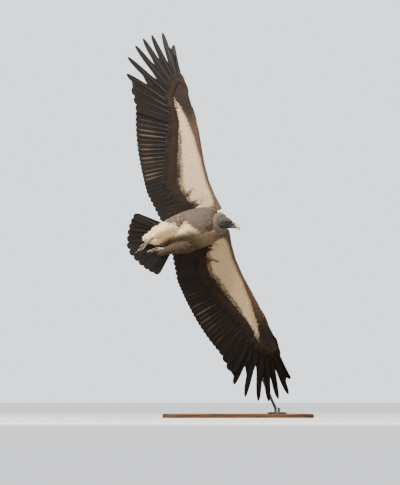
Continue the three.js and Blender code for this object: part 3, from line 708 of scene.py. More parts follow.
class Leg:
    """Shank, foot and toes of one side, with the directions along, across and down the foot."""

    def __init__(self, side):
        _, self.heel, self.ball, _ = LEGS[side]
        self.along = unit(self.ball - self.heel)
        self.across = unit(np.cross(self.along, (0, 0, 1)))
        self.down = np.cross(self.along, self.across)
        self.toes = []
        for length, turn, start, thick in np.array(TOES) * (MM, 1, MM, MM):
            self.toes.append(self.toe(length, np.radians(turn), start, thick, TOE_CURL[side]))

    def toe(self, length, turn, start, thick, curl):
        """Points of a toe and of its claw along an arc, its thickness, length and side."""
        def joint(q, drop):
            reach = length * np.sin(curl * q) / curl
            return self.point(start + reach * np.cos(turn), reach * np.sin(turn),
                drop * MM + length * (1 - np.cos(curl * q)) / curl)

        toe = np.array([joint(-0.02, 3), joint(0.35, 1), joint(0.7, 3), joint(1, 9)])
        claw = np.array([joint(0.93, 7.5), joint(1, 9), joint(1.14, 13), joint(1.24, 21), joint(1.26, 29)])
        side = np.cross(self.along * np.cos(turn) + self.across * np.sin(turn), self.down)
        return toe, claw, thick, length, side

    def point(self, forward, aside, drop):
        """A place measured from the ball of the foot."""
        return self.ball + self.along * forward + self.across * aside + self.down * drop


legs = {side: Leg(side) for side in LEGS}


def leg_skin(leg):
    """Bare shank, palm and toes with cross scutes on top and pads beneath."""
    bm = bmesh.new()
    shank = [leg.heel - leg.along * 0.030, leg.heel + leg.along * 0.002, leg.heel + leg.along * 0.014,
        (leg.heel + leg.ball) / 2, leg.ball - leg.along * 0.012, leg.ball]
    ring_loft(bm, limb_rings(shank, np.array((6.5, 8.8, 8.3, 7.0, 7.9, 8.4)) * MM, 40), 20)
    palm = [leg.point(f * MM, 0, d * MM) for f, d in ((-11.5, 0), (0, 1), (11, 2), (19, 3))]
    ring_loft(bm, limb_rings(palm, np.array((8.2, 11.2, 11.2, 6.6)) * MM, 16), 20)
    for toe, _, thick, length, side in leg.toes:
        steps = int(length / 0.0011)
        rings = limb_rings(toe, thick * np.array((0.96, 0.93, 0.86, 0.66)), steps, side)
        pads = 1 + 0.10 * np.cos(np.linspace(0, 3, steps) * 2 * np.pi)
        rings = [(place, across * pad, up * pad) for (place, across, up), pad in zip(rings, pads)]
        ring_loft(bm, rings, 18)
    shape = rebuilt(bm, 0.0012, 2)
    co, normal = vertices_of(shape.data)
    along = (co - leg.ball) @ leg.along
    down = normal @ leg.down
    scutes = np.abs(np.sin(along * np.pi / 0.0042)) ** 0.5 - 0.75
    cells = np.sin(co @ leg.across * 2400) * np.sin(along * 2400)
    push = 0.0007 * scutes * smooth_step(0.1, -0.3, down) + 0.00018 * cells * smooth_step(-0.2, 0.2, down)
    shank_only = smooth_step(-0.012, -0.030, along)
    push += 0.0003 * shank_only * np.sin(along * 1500)
    move_vertices(shape.data, co + normal * push[:, None])
    return shape


def unite(shape, others):
    """Welds other closed shapes to a shape and removes them."""
    for other in others:
        weld = shape.modifiers.new("weld", "BOOLEAN")
        weld.operation = "UNION"
        weld.solver = "MANIFOLD"
        weld.object = other
        settle(shape)
        bpy.data.objects.remove(other)


# Colours of hide and coat, as linear values; the last two, tan and sand, are painted shade.
CREAM, BUFF, WHITE = (0.86, 0.68, 0.43), (0.38, 0.265, 0.155), (0.56, 0.44, 0.295)
BREAST, UMBER, SEPIA = (0.100, 0.077, 0.067), (0.105, 0.064, 0.042), (0.021, 0.0155, 0.014)
SLATE, FACE, DOWN = (0.011, 0.0105, 0.012), (0.018, 0.0175, 0.021), (0.165, 0.150, 0.127)
LEG_GREY, SHADE_TAN, SHADE_SAND = (0.23, 0.19, 0.175), (0.055, 0.037, 0.0275), (0.20, 0.155, 0.117)


def mixed(one, other, share):
    """One colour with a share of the other."""
    share = np.asarray(share)[..., None]
    return np.asarray(one) * (1 - share) + np.asarray(other) * share


def trunk_marks(co, under):
    """Trunk: brown crop, grey-brown breast, cream belly, and the left side painted tan as shade; white lower
    back.
    """
    x, y = co[:, 0], co[:, 1]
    belly = np.interp(x, (-0.215, -0.195, -0.135, -0.095, -0.060, -0.035),
        (0.125, 0.112, 0.084, 0.048, 0.006, -0.030))
    midline = np.interp(x, (-0.300, -0.240, -0.100, -0.050, 0.030), (0.014, -0.004, -0.010, 0.008, 0.030))
    below = mixed(BREAST, CREAM, smooth_step(0.012, -0.014, -y - belly))
    # The bird's left side beyond the midline is painted tan as shade, sandier towards the breast.
    shaded_left_side = mixed(SHADE_TAN, SHADE_SAND, smooth_step(-0.110, -0.010, x))
    below = mixed(below, shaded_left_side, smooth_step(-0.017, 0.019, y - midline))
    crop = np.hypot((x - 0.018) / 0.024, (y - 0.007) / 0.022)
    below = mixed(below, (0.052, 0.028, 0.022), smooth_step(1.20, 0.55, crop))
    above = mixed(UMBER, WHITE, smooth_step(-0.070, -0.115, x) * smooth_step(0.085, 0.062, np.abs(y)))
    above = mixed(above, UMBER, smooth_step(-0.262, -0.285, x))
    return mixed(above, below, under)


def wing_marks(seam, chord, under):
    """Wing coverts: white band beneath, behind a dark leading edge that widens past the wrist."""
    lead = np.interp(seam, (-1, 0, 6, 12, 15, 20, 23, 25, 27, 28.2, 29.3),
        (0.22, 0.10, 0.08, 0.10, 0.16, 0.26, 0.43, 0.56, 0.64, 0.80, 1.10))
    rear = np.interp(seam, (-1, 4, 8, 12, 16, 20, 23, 25, 27, 28.5),
        (0.84, 0.80, 0.71, 0.76, 0.79, 0.86, 0.97, 1.03, 0.96, 0.90))
    front = mixed(mixed(SEPIA, UMBER, 0.75), BREAST, 0.8 * smooth_step(5, 0, seam))
    front = mixed(front, SEPIA, smooth_step(22, 29, seam))
    below = mixed(front, WHITE, smooth_step(lead - 0.03, lead + 0.05, chord))
    below = mixed(below, BREAST, smooth_step(-0.35, -0.75, seam))
    below = mixed(below, mixed(SEPIA, UMBER, 0.06), smooth_step(rear - 0.03, rear + 0.04, chord))
    above = mixed(UMBER, BUFF, 0.30 * smooth_step(0.9, 0.2, chord))
    above = mixed(above, SEPIA, smooth_step(24, 31, seam) * 0.7)
    return mixed(above, below, under)


# Dark pointed marks that run from the quills into the white band: point, base and half width.
NOTCHES = np.array([(-30, 228, -96, 184, 13), (-30, 147, -85, 130, 12), (-8, 121, -150, 118, 16)]) * MM


def notched(co, tone):
    """Darkens the pointed marks at the root of the wing's lower face."""
    for x, y, base_x, base_y, width in NOTCHES:
        way = np.array((base_x - x, base_y - y))
        span = np.linalg.norm(way)
        apart = np.stack((co[..., 0] - x, np.abs(co[..., 1]) - y), -1)
        along = (apart @ way) / span
        away = np.abs(apart[..., 0] * way[1] - apart[..., 1] * way[0]) / span
        limit = width * np.clip(along / span, 0, 1.3)
        tone = mixed(tone, (0.060, 0.040, 0.032), smooth_step(limit + 0.004, limit - 0.003, away)
            * smooth_step(-0.002, 0.010, along) * smooth_step(1.5 * span, 1.3 * span, along))
    return tone


def arm_place(co):
    """Seam number and chord of points on the arms, for the marks of the hide there."""
    wing = wings["left"]
    y = np.abs(co[:, 1])
    front, rear = wing.front, wing.rear
    seam = np.interp(y, (front[:, 1] + rear[:, 1]) / 2, wing.steps)
    x_front = np.interp(y, front[:, 1], front[:, 0])
    x_rear = np.interp(y, rear[:, 1], rear[:, 0])
    return seam, (x_front - co[:, 0]) / np.maximum(x_front - x_rear, 1e-4)


def hide_marks(co, normal):
    """The hide wears the coat's own marks, and the bare colours of face and feet."""
    under = smooth_step(0.15, -0.15, normal[:, 2])
    seam, chord = arm_place(co)
    plain = wing_marks(seam, chord, under)
    arms = mixed(plain, notched(co, plain), under)
    tone = mixed(trunk_marks(co, under), arms, smooth_step(0.10, 0.12, np.abs(co[:, 1])))
    for leg in legs.values():
        along = (co - leg.heel) @ leg.along
        away = np.linalg.norm(co - leg.heel - along[:, None] * leg.along, axis=1)
        foot = np.linalg.norm(leg.ball - leg.heel) - 0.020
        bare = smooth_step(0.010, 0.018, along) * smooth_step(0.0135, 0.0110, away)
        bare = np.maximum(bare, smooth_step(foot, foot + 0.004, along) * smooth_step(0.10, 0.09, away))
        tone = mixed(tone, LEG_GREY, bare)
    head = bird_to_head(co)
    from_face = np.linalg.norm(head - (0.02, 0, 0), axis=1)
    on_head = smooth_step(0.135, 0.115, from_face) * smooth_step(0.05, 0.07, co[:, 0])
    paler = 0.22 * smooth_step(-0.010, -0.040, head[:, 0]) + 0.10 * smooth_step(0.012, 0.030, head[:, 2])
    return mixed(tone, mixed(FACE, (0.35, 0.30, 0.27), paler), on_head)


def paint(mesh, name, colours):
    """Stores a colour for each vertex."""
    layer = mesh.color_attributes.new(name, "FLOAT_COLOR", "POINT")
    with_alpha = np.column_stack((colours, np.ones(len(colours))))
    layer.data.foreach_set("color", with_alpha.astype(np.float32).ravel())


def add_marks(nodes, links, shader, pattern, **limits):
    """The painted marks as base colour, made darker and lighter by a pattern within limits."""
    marks = nodes.new("ShaderNodeAttribute")
    marks.attribute_name = "marks"
    shade = add_node(nodes, "MapRange", **limits)
    mottled = nodes.new("ShaderNodeMix")
    mottled.data_type = "RGBA"
    mottled.blend_type = "MULTIPLY"
    set_sockets(mottled, {"Factor": 1})
    links.new(pattern, shade.inputs["Value"])
    links.new(marks.outputs["Color"], mottled.inputs["A"])
    links.new(shade.outputs["Result"], mottled.inputs["B"])
    links.new(mottled.outputs["Result"], shader.inputs["Base Color"])


def hide():
    """Hide: the painted marks, blotched by noise, with pores in the bump."""
    material, nodes, links, shader = new_material("hide", Roughness=0.62, Specular_IOR_Level=0.35,
        Subsurface_Weight=0.05)
    place = object_place(nodes)
    add_marks(nodes, links, shader, noise(nodes, links, place, Scale=240, Detail=6), To_Min=0.62, To_Max=1.42)
    pores = add_node(nodes, "TexVoronoi", Scale=900)
    links.new(place, pores.inputs["Vector"])
    add_bump(nodes, links, shader, pores.outputs["Distance"], 0.35, 0.0005)
    return material


outline = coat_outline()
outline_tree = BVHTree.FromObject(outline, bpy.context.evaluated_depsgraph_get())
body_skin(outline)
unite(outline, [head_and_neck(), leg_skin(legs["left"]), leg_skin(legs["right"])])
skin = outline
skin.name = "skin"
skin_co, skin_normal = vertices_of(skin.data)
paint(skin.data, "marks", hide_marks(skin_co, skin_normal))
move_vertices(skin.data, bird_to_display(skin_co))
skin.data.materials.clear()
skin.data.materials.append(hide())
skin.data.shade_smooth()
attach(skin, "root")
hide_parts(*FLESH, "head", "shank_left", "shank_right", "foot_left", "foot_right")


def unwrap_skin():
    """Lays the hide out flat by its own shape; the coat's patches lie at their roots on this map."""
    bpy.ops.object.select_all(action="DESELECT")
    skin.select_set(True)
    bpy.context.view_layer.objects.active = skin
    skin.data.uv_layers.active = skin.data.uv_layers.new(name="OFBake")
    bpy.ops.object.mode_set(mode="EDIT")
    bpy.ops.mesh.select_all(action="SELECT")
    bpy.ops.uv.smart_project(angle_limit=1.15, island_margin=0.002, scale_to_bounds=True)
    bpy.ops.object.mode_set(mode="OBJECT")


unwrap_skin()
skin_tree = BVHTree.FromObject(skin, bpy.context.evaluated_depsgraph_get())


# ---- Eyes ---------------------------------------------------------------------------------------
# Glass eyes set into the lids: a dark brown iris round a black pupil under a clear, slightly
# raised cornea. Each is a ball of the frame's own size, held by the hide.

def glass_eye():
    """Wet glass over the painted iris."""
    material, nodes, links, shader = new_material("glass_eye", Roughness=0.06, Coat_Weight=1.0,
        Coat_Roughness=0.02, Specular_IOR_Level=0.6)
    fibres = noise(nodes, links, object_place(nodes), Scale=1400, Detail=3)
    add_marks(nodes, links, shader, fibres, To_Min=0.55, To_Max=1.5)
    return material


def add_eye(side, mirror, glass):
    """One ball, its pole turned outwards and a little forward."""
    gaze = unit(np.array((0.22, mirror, 0.02)))
    centre = EYE * (1, mirror, 1)
    iris, pupil, cornea = 0.0054, 0.0027, 0.0006
    bm = bmesh.new()
    turn = Vector(gaze).to_track_quat("Z", "Y").to_matrix().to_4x4()
    bmesh.ops.create_uvsphere(bm, u_segments=48, v_segments=40, radius=EYE_RADIUS,
        matrix=Matrix.Translation(Vector(centre)) @ turn)
    eye = link_mesh(bm, "eyeball_" + side, glass)
    co = vertices_of(eye.data)[0]
    ahead = (co - centre) @ gaze
    off_axis = np.sqrt(np.maximum(EYE_RADIUS ** 2 - ahead ** 2, 0)) + 0.02 * (ahead < 0)
    bulge = cornea * np.clip(1 - (off_axis / iris) ** 2, 0, 1)
    tone = mixed((0.004, 0.003, 0.003), (0.060, 0.026, 0.012), smooth_step(pupil, pupil + 0.0003, off_axis))
    tone = mixed(tone, (0.010, 0.006, 0.005), smooth_step(iris - 0.0008, iris, off_axis))
    paint(eye.data, "marks", tone)
    move_vertices(eye.data, bird_to_display(head_to_bird(co + gaze * bulge[:, None])))
    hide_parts("eye_" + side)


eye_glass = glass_eye()
for side, mirror in (("left", 1), ("right", -1)):
    add_eye(side, mirror, eye_glass)


# ---- Bill ---------------------------------------------------------------------------------------
# Horn sheaths over the jaws: a dark, soft cere with slit nostrils at the root, then a deep, hooked
# upper half with a sharp lower edge, and a shorter lower half that shuts inside it.

UPPER_BILL = np.array([(38.5, 5.6, 9.2, 10.8), (47, 5.2, 9.2, 10), (57, 4, 9.4, 8.6), (67, 1.6, 9, 7),
    (76, -3, 8, 5.2), (82, -9.5, 5.8, 3.6), (84, -16.5, 3, 2), (83.5, -20.5, 1.0, 0.7)]) * MM
LOWER_BILL = np.array([(38.5, -12, 7.4, 9.4), (47, -11.4, 6.5, 8.5), (57, -11, 5.3, 6.9), (66, -11, 3.5, 4.8),
    (71.5, -11, 1.2, 1.8)]) * MM
HOOK_LEAN = 14


def horn():
    """Horn: painted marks with growth lines along the bill or claw, and a satin polish."""
    material, nodes, links, shader = new_material("horn", Roughness=0.34, Coat_Weight=0.15)
    lines = noise(nodes, links, object_place(nodes), Scale=420, Detail=5, Distortion=0.6)
    add_marks(nodes, links, shader, lines, To_Min=0.72, To_Max=1.25)
    add_bump(nodes, links, shader, lines, 0.25, 0.0003)
    return material


def bill_half(name, stations, lean, node, sheath):
    """One half: oval rings pinched to a keel at the cutting edge, then the cere and nostrils."""
    rows = curve_through(np.column_stack((stations, np.maximum(np.arange(len(stations)) - 2, 0) * lean)), 64)
    rings = []
    for x, z, half_height, half_width, tilt in rows:
        up = np.array((np.sin(np.radians(tilt)), 0, np.cos(np.radians(tilt))))
        rings.append(((x, 0, z), np.array((0, half_width, 0)), up * half_height))
    bm = bmesh.new()
    ring_loft(bm, rings, 48)
    bmesh.ops.recalc_face_normals(bm, faces=bm.faces[:])
    half = link_mesh(bm, name, sheath)
    co, normal = vertices_of(half.data)
    x, _, z = co.T
    if lean:
        cere = smooth_step(0.0545, 0.0520, x - 0.16 * (z - 0.004))
        slit = np.hypot((x - 0.0475 - 0.15 * (z - 0.0065)) / 0.0017, (z - 0.0065) / 0.0042)
        edge = smooth_step(-0.55, -0.85, normal[:, 2]) * smooth_step(0.052, 0.060, x)
        slit_rim = np.exp(-((slit - 1.3) / 0.25) ** 2)
        push = 0.0005 * cere - 0.0030 * smooth_step(1.0, 0.55, slit) + 0.0003 * slit_rim
        push -= 0.0004 * np.exp(-((x - 0.16 * (z - 0.004) - 0.0535) / 0.0008) ** 2)
        # The upper half's pale horn, paler towards the tip, is a painted highlight of sun on a dark bill;
        # tip, cere and downward-facing sides keep the dark horn.
        pale = mixed((0.34, 0.245, 0.225), (0.56, 0.52, 0.50), smooth_step(0.055, 0.068, x))
        dark_tip = smooth_step(-0.0035, -0.0125, z - 0.15 * (0.076 - x)) * smooth_step(0.070, 0.076, x)
        tone = mixed(pale, (0.022, 0.020, 0.021), np.maximum(dark_tip, 0.9 * edge))
        tone = mixed(tone, (0.035, 0.031, 0.032), cere)
    else:
        push = -0.0004 * np.exp(-((x - 0.0545) / 0.0012) ** 2)
        tone = mixed((0.030, 0.027, 0.028), (0.10, 0.08, 0.075), 0.5 * smooth_step(0.050, 0.066, x))
        tone = tone * np.ones((len(co), 1))
    paint(half.data, "marks", tone)
    move_vertices(half.data, bird_to_display(head_to_bird(co + normal * push[:, None])))
    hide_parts(node)


horn_sheath = horn()
bill_half("bill_upper_half", UPPER_BILL, HOOK_LEAN, "bill_upper", horn_sheath)
bill_half("bill_lower_half", LOWER_BILL, 0, "bill_lower", horn_sheath)


# ---- Claws --------------------------------------------------------------------------------------
# Blunt, curved horn claws, weak for the size of the foot as in all large vultures, each seated
# in the last scute of its toe.

def add_claw(side, number, toe, sheath):
    """One claw: a tapering curved cone, flattened beneath."""
    _, line, thick, _, across = toe
    bm = bmesh.new()
    ring_loft(bm, limb_rings(line, thick * np.array((0.60, 0.60, 0.52, 0.34, 0.09)), 22, across), 16)
    bmesh.ops.recalc_face_normals(bm, faces=bm.faces[:])
    claw = link_mesh(bm, f"talon_{side}_{number}", sheath)
    co = vertices_of(claw.data)[0]
    reach = line[-1] - line[0]
    along = np.clip(((co - line[0]) @ unit(reach)) / np.linalg.norm(reach), 0, 1)
    paint(claw.data, "marks", mixed((0.075, 0.062, 0.056), (0.020, 0.018, 0.018), along))
    move_vertices(claw.data, bird_to_display(co))
    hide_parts(f"claw_{side}_{number}")


for side, leg in legs.items():
    for number, toe in enumerate(leg.toes, 1):
        add_claw(side, number, toe, horn_sheath)


# ---- Flight feathers ----------------------------------------------------------------------------
# Ten primaries, eighteen secondaries and six tertials a wing, and twelve tail feathers: a horn
# shaft with a narrow leading and a broad trailing vane, set into the arm's hide quill by quill.
# Each overlaps the next, and the outer seven primaries are notched into free fingers.

dice = np.random.default_rng(7)


def closed_sheet(columns, rows):
    """A thin closed sheet: column, row and side of each vertex, and its faces. The rim is shared."""
    bm = bmesh.new()
    bmesh.ops.create_grid(bm, x_segments=columns - 1, y_segments=rows - 1, size=0.5,
        matrix=Matrix.Diagonal((columns - 1, rows - 1, 1, 1))
        @ Matrix.Translation((0.5, 0.5, 0)))
    under = bmesh.ops.duplicate(bm, geom=bm.faces[:])["geom"]
    bmesh.ops.reverse_faces(bm, faces=[g for g in under if isinstance(g, bmesh.types.BMFace)])
    under = {g for g in under if isinstance(g, bmesh.types.BMVert)}
    for v in bm.verts:
        inside = 0.5 < v.co.x < columns - 1.5 and 0.5 < v.co.y < rows - 1.5
        v.co.z = (-1 if v in under else 1) * inside
    bmesh.ops.remove_doubles(bm, verts=bm.verts[:], dist=1e-4)
    bm.verts.index_update()
    spots = np.array([v.co[:] for v in bm.verts])
    faces = np.array([[v.index for v in f.verts] for f in bm.faces])
    bm.free()
    return np.rint(spots[:, 0]).astype(int), np.rint(spots[:, 1]).astype(int), spots[:, 2], faces


def sheets_to_piece(name, co, faces, rim, material, uv, marks, vane):
    """Joins many like sheets, given as (sheet, vertex, xyz) in the bird's frame, into one piece."""
    count, corners = co.shape[:2]
    loops = (faces[None] + corners * np.arange(count)[:, None, None]).reshape(-1)
    mesh = bpy.data.meshes.new(name)
    mesh.vertices.add(count * corners)
    mesh.loops.add(len(loops))
    mesh.polygons.add(len(loops) // 4)
    mesh.polygons.foreach_set("loop_start", np.arange(0, len(loops), 4, dtype=np.int32))
    mesh.loops.foreach_set("vertex_index", loops.astype(np.int32))
    mesh.vertices.foreach_set("co", bird_to_display(co).astype(np.float32).ravel())
    mesh.update(calc_edges=True)
    ends = np.empty(2 * len(mesh.edges), np.int32)
    mesh.edges.foreach_get("vertices", ends)
    on_rim = np.tile(rim, count)[ends].reshape(-1, 2).all(1)
    mesh.attributes.new("sharp_edge", "BOOLEAN", "EDGE").data.foreach_set("value", on_rim)
    layer = mesh.uv_layers.new(name="OFBake")
    layer.uv.foreach_set("vector", uv.astype(np.float32).ravel())
    paint(mesh, "marks", marks.reshape(-1, 3))
    lie = mesh.attributes.new("vane", "FLOAT_VECTOR", "POINT")
    lie.data.foreach_set("vector", vane.astype(np.float32).ravel())
    mesh.materials.append(material)
    mesh.shade_smooth()
    piece = add_object(name, mesh)
    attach(piece, "root")
    return piece


# One unit across and along a vane's own pattern, and how far its barbs lean.
BARB_ACROSS, BARB_ALONG, BARB_LEAN = 0.03, 0.3, 0.24


def vane_place(across, along, lot):
    """Place on a vane's pattern, with a lot that sets one feather's barbs off from the next."""
    slant = along / BARB_ALONG - np.abs(across) / BARB_LEAN
    return np.stack((across / BARB_ACROSS, slant, lot * np.ones(np.shape(across))), -1)


def vane_material(name, roughness, sheen, barb_depth):
    """Feather vane: painted marks, and barbs that run out obliquely from the shaft."""
    material, nodes, links, shader = new_material(name, Roughness=roughness, Sheen_Weight=sheen,
        Sheen_Roughness=0.5, Specular_IOR_Level=0.14)
    lie = nodes.new("ShaderNodeAttribute")
    lie.attribute_name = "vane"
    stretch = add_node(nodes, "Mapping", Scale=(2.5, 90, 37))
    links.new(lie.outputs["Vector"], stretch.inputs["Vector"])
    barbs = noise(nodes, links, stretch.outputs["Vector"], Scale=1.6, Detail=4)
    add_marks(nodes, links, shader, barbs, From_Min=0.25, From_Max=0.75, To_Min=1 - barb_depth,
        To_Max=1 + barb_depth)
    add_bump(nodes, links, shader, barbs, 0.4, 0.0006)
    return material


QUILL_COLUMNS, PLAIN_ROWS, SPLITS = 10, 46, 3
QUILL_ROWS = PLAIN_ROWS + 3 * SPLITS
SHAFT_COLUMNS, BESIDE_SHAFT = (4, 5), (3, 6)
# Half thickness of a vane, half width of a shaft at tip and root, and the step from shaft to vane.
VANE_HALF, SHAFT_TIP, SHAFT_ROOT, SHAFT_STEP = 0.00022, 0.0003, 0.0020, 0.0004
quill_column, quill_row, quill_side, quill_faces = closed_sheet(QUILL_COLUMNS, QUILL_ROWS)
# Where each gap between two primaries begins, as a part of the shaft, from the innermost outwards.
PRIMARY_SLOTS = (0.95, 0.94, 0.87, 0.66, 0.56, 0.68, 0.66, 0.53, 0.73, 1.2)


def gap_to(quill, other, t, least, share):
    """Half width that closes the row between two quills; a free edge keeps its own width."""
    if other is None:
        return np.full(np.shape(t), least)
    apart = np.linalg.norm(quill.at(t) - other.at(t), axis=-1)
    return np.maximum(least, share * apart)


def fingered(width, t, slot, finger):
    """A half width notched to a free finger beyond its slot."""
    past = (t - slot) / (1 - min(slot, 0.9))
    free = finger * np.clip(1 - past.clip(0, 1) ** 2.2, 0.0004, 1) ** 0.5
    return width + (free - width) * smooth_step(-0.28, 0.22, past)


def half_widths(quill, inner, outer, t):
    """Trailing and leading half width of the vane along the shaft."""
    if quill.kind == "tail":
        trail = gap_to(quill, inner, t, 0.024, 0.60)
        lead = gap_to(quill, outer, t, 0.024, 0.60)
    else:
        trail = gap_to(quill, inner, t, 0.027, 0.64).clip(0, 0.046)
        lead = gap_to(quill, outer, t, 0.014, 0.52).clip(0, 0.034)
    round_tip = 1 - 0.034 / quill.length
    if quill.kind == "primary" and quill.number > 2:
        trail = fingered(trail, t, PRIMARY_SLOTS[quill.number - 1], 0.0195)
        lead = fingered(lead, t, PRIMARY_SLOTS[quill.number], 0.0155)
        round_tip = 1 - 0.020 / quill.length
    tip = np.sqrt(np.clip(1 - np.clip((t - round_tip) / (1 - round_tip), 0, 1) ** 2.2, 0.02, 1))
    full_from, full_at = (0.13, 0.24) if quill.kind == "primary" else (0.06, 0.20)
    root = 0.12 + 0.88 * smooth_step(full_from, full_at, t)
    return trail * tip * root, lead * tip * root


def shaped_quill(quill, inner, outer):
    """Vertices of one flight feather in the left wing's drawing, with its vane coordinates."""
    split_chance = 0.55
    cuts = np.sort(dice.uniform(0.35, 0.93, SPLITS))
    depth = dice.uniform(0.15, 0.75, SPLITS) * (dice.random(SPLITS) < split_chance) * (quill.kind != "tail")
    sliver = 0.0012 / quill.length
    rows = [np.linspace(0.02, 0.993, PLAIN_ROWS)] + [cut + sliver * np.array((-1, 0, 1)) for cut in cuts]
    notch = [np.zeros(PLAIN_ROWS)] + [d * np.array((0, 1, 0)) for d in depth]
    rows, notch = np.concatenate(rows), np.concatenate(notch)
    order = rows.argsort()
    rows, notch = rows[order], notch[order]

    shaft = SHAFT_TIP + (SHAFT_ROOT - SHAFT_TIP) * (1 - rows) ** 1.2
    trail, lead = half_widths(quill, inner, outer, rows)
    shares = (-1, -0.66, -0.33, 0, 0, 0, 0, 0.4, 0.72, 1.0)
    lay = np.empty((QUILL_ROWS, QUILL_COLUMNS))
    sweep = np.empty_like(lay)
    for column, share in enumerate(shares):
        leading = column > 4
        reach = 0.75 * abs(share) * (lead if leading else trail) / quill.length
        swept = np.minimum(rows + reach * (1 - rows) ** 0.25, 0.996)
        half_there = half_widths(quill, inner, outer, swept)[leading]
        lay[:, column] = share * half_there * (1 - notch * max(abs(share) - 0.3, 0) * (share < 0))
        sweep[:, column] = swept
    lay[:, 3], lay[:, 4] = -shaft - SHAFT_STEP, -shaft
    lay[:, 5], lay[:, 6] = shaft, shaft + SHAFT_STEP

    t = sweep[quill_row, quill_column]
    w = lay[quill_row, quill_column]
    thick = np.where(np.isin(quill_column, SHAFT_COLUMNS), 0.9 * shaft[quill_row], VANE_HALF)
    camber = -2.0 * w ** 2 if quill.kind == "tail" else -2.6 * w ** 2 + 0.06 * w
    point = quill.at(t) + quill.aside * w[:, None]
    point[:, 2] += camber + quill_side * thick
    if quill.kind == "primary":
        point[:, 2] += 0.0060 * smooth_step(0.25, 0.14, t)
    return point, vane_place(w, t * quill.length, dice.random())


def quill_marks(quill):
    """Near-black vanes, paler shafts, and worn pale streaks on the outer secondaries."""
    along = quill_row / (QUILL_ROWS - 1)
    tone = mixed(SLATE, SEPIA, dice.uniform(0, 0.5) * np.ones(len(along)))
    tone = tone * (1 + 0.30 * (along - 0.5))[:, None] * dice.uniform(0.85, 1.2)
    shaft_tone = mixed((0.07, 0.05, 0.04), (0.020, 0.015, 0.013), smooth_step(0.2, 0.7, along))
    if quill.kind == "secondary" and quill.number < 15:
        strength = dice.uniform(0.0, 0.8) * smooth_step(-1, 4, quill.number) * (quill_side <= 0)
        streak = smooth_step(0.58, 0.76, along) * smooth_step(0.98, 0.90, along)
        tone = mixed(tone, (0.15, 0.11, 0.09), strength * np.isin(quill_column, BESIDE_SHAFT) * streak)
        shaft_tone = mixed(shaft_tone, (0.20, 0.155, 0.125), (0.1 + strength) * smooth_step(0.35, 0.7, along))
    return mixed(tone, shaft_tone, np.isin(quill_column, SHAFT_COLUMNS) * 0.85)


def strip_map(number, count):
    """Each feather's two faces lie side by side in a strip of the piece's own map."""
    face_under = quill_side[quill_faces].mean(1) < 0
    across = quill_column[quill_faces] / (QUILL_COLUMNS - 1)
    along = quill_row[quill_faces] / (QUILL_ROWS - 1)
    strip = (2 * number + face_under[:, None] + 0.06 + 0.88 * across) / (2 * count)
    return np.stack((strip, 0.02 + 0.96 * along), -1)


def with_neighbours(quills):
    """Each quill with the ones on its inner and outer side, or None at the ends of the row."""
    return list(zip(quills, [None] + quills[:-1], quills[1:] + [None]))


def add_quill_row(name, row, place, material, node):
    """One row of flight feathers as one piece."""
    co, vanes, marks, uv = [], [], [], []
    for number, (quill, inner, outer) in enumerate(row):
        point, vane = shaped_quill(quill, inner, outer)
        co.append(place(point))
        vanes.append(vane)
        marks.append(quill_marks(quill))
        uv.append(strip_map(number, len(row)))
    piece = sheets_to_piece(name, np.array(co), quill_faces, quill_side == 0, material, np.array(uv),
        np.array(marks), np.array(vanes))
    if place(np.ones(3))[1] < 0:
        piece.data.flip_normals()
    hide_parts(node)


flight_vanes = vane_material("flight_vanes", 0.50, 0.03, 0.22)
for side, wing in wings.items():
    for kind, plural in (("tertial", "tertials"), ("secondary", "secondaries"), ("primary", "primaries")):
        row = [trio for trio in with_neighbours(wing.quills) if trio[0].kind == kind]
        add_quill_row(f"{kind}_feathers_{side}", row, wing.place, flight_vanes, f"{plural}_{side}")


class TailQuill:
    """A tail feather's shaft; the fan sags towards its sides."""

    kind = "tail"

    def __init__(self, number):
        self.number = number
        self.across = (number - 5.5) / 5.5
        angle = np.radians(self.across * 42 + 2.5)
        self.length = np.interp(abs(self.across), (0, 1), (0.262, 0.198))
        self.direction = np.array((-np.cos(angle), np.sin(angle), 0))
        self.aside = np.array((self.direction[1], -self.direction[0], 0))
        self.root = np.array((-0.262, self.across * 0.044, -0.008 - 0.0045 * abs(self.across)))

    def at(self, t):
        """Point of the shaft at a part of its length."""
        t = np.asarray(t, float)[..., None]
        point = self.root + self.direction * self.length * t
        sag = 0.014 * t ** 2 + 0.010 * self.across ** 2 * t
        return point - sag * np.array((0, 0, 1))


tail = [TailQuill(number) for number in range(12)]
add_quill_row("tail_feathers", with_neighbours(tail), lambda points: points, flight_vanes, "tail")


# ---- Wing coverts -------------------------------------------------------------------------------
# Small contour feathers in shingled rows over both faces of the arm, longest over the quills:
# white beneath behind a dark leading edge, brown with worn pale rims above. Each is rooted in
# the hide and lies back along the wing.

FINE_SHEET = closed_sheet(3, 6)
FINE_ALONG = np.array((0, 0.22, 0.46, 0.70, 0.90, 1.0))
FINE_WIDTH = np.array((0.30, 0.74, 1.0, 0.94, 0.60, 0.18))
LANCE_WIDTH = np.array((0.30, 0.80, 1.0, 0.84, 0.42, 0.08))
BROAD_SHEET = closed_sheet(5, 10)
BROAD_ALONG = np.array((0, 0.10, 0.24, 0.40, 0.56, 0.70, 0.82, 0.91, 0.97, 1.0))
BROAD_WIDTH = np.array((0.22, 0.48, 0.80, 0.95, 1.0, 0.97, 0.87, 0.69, 0.46, 0.20))
# Side of a small feather's patch on the hide's map.
PATCH_SIZE = 0.00282


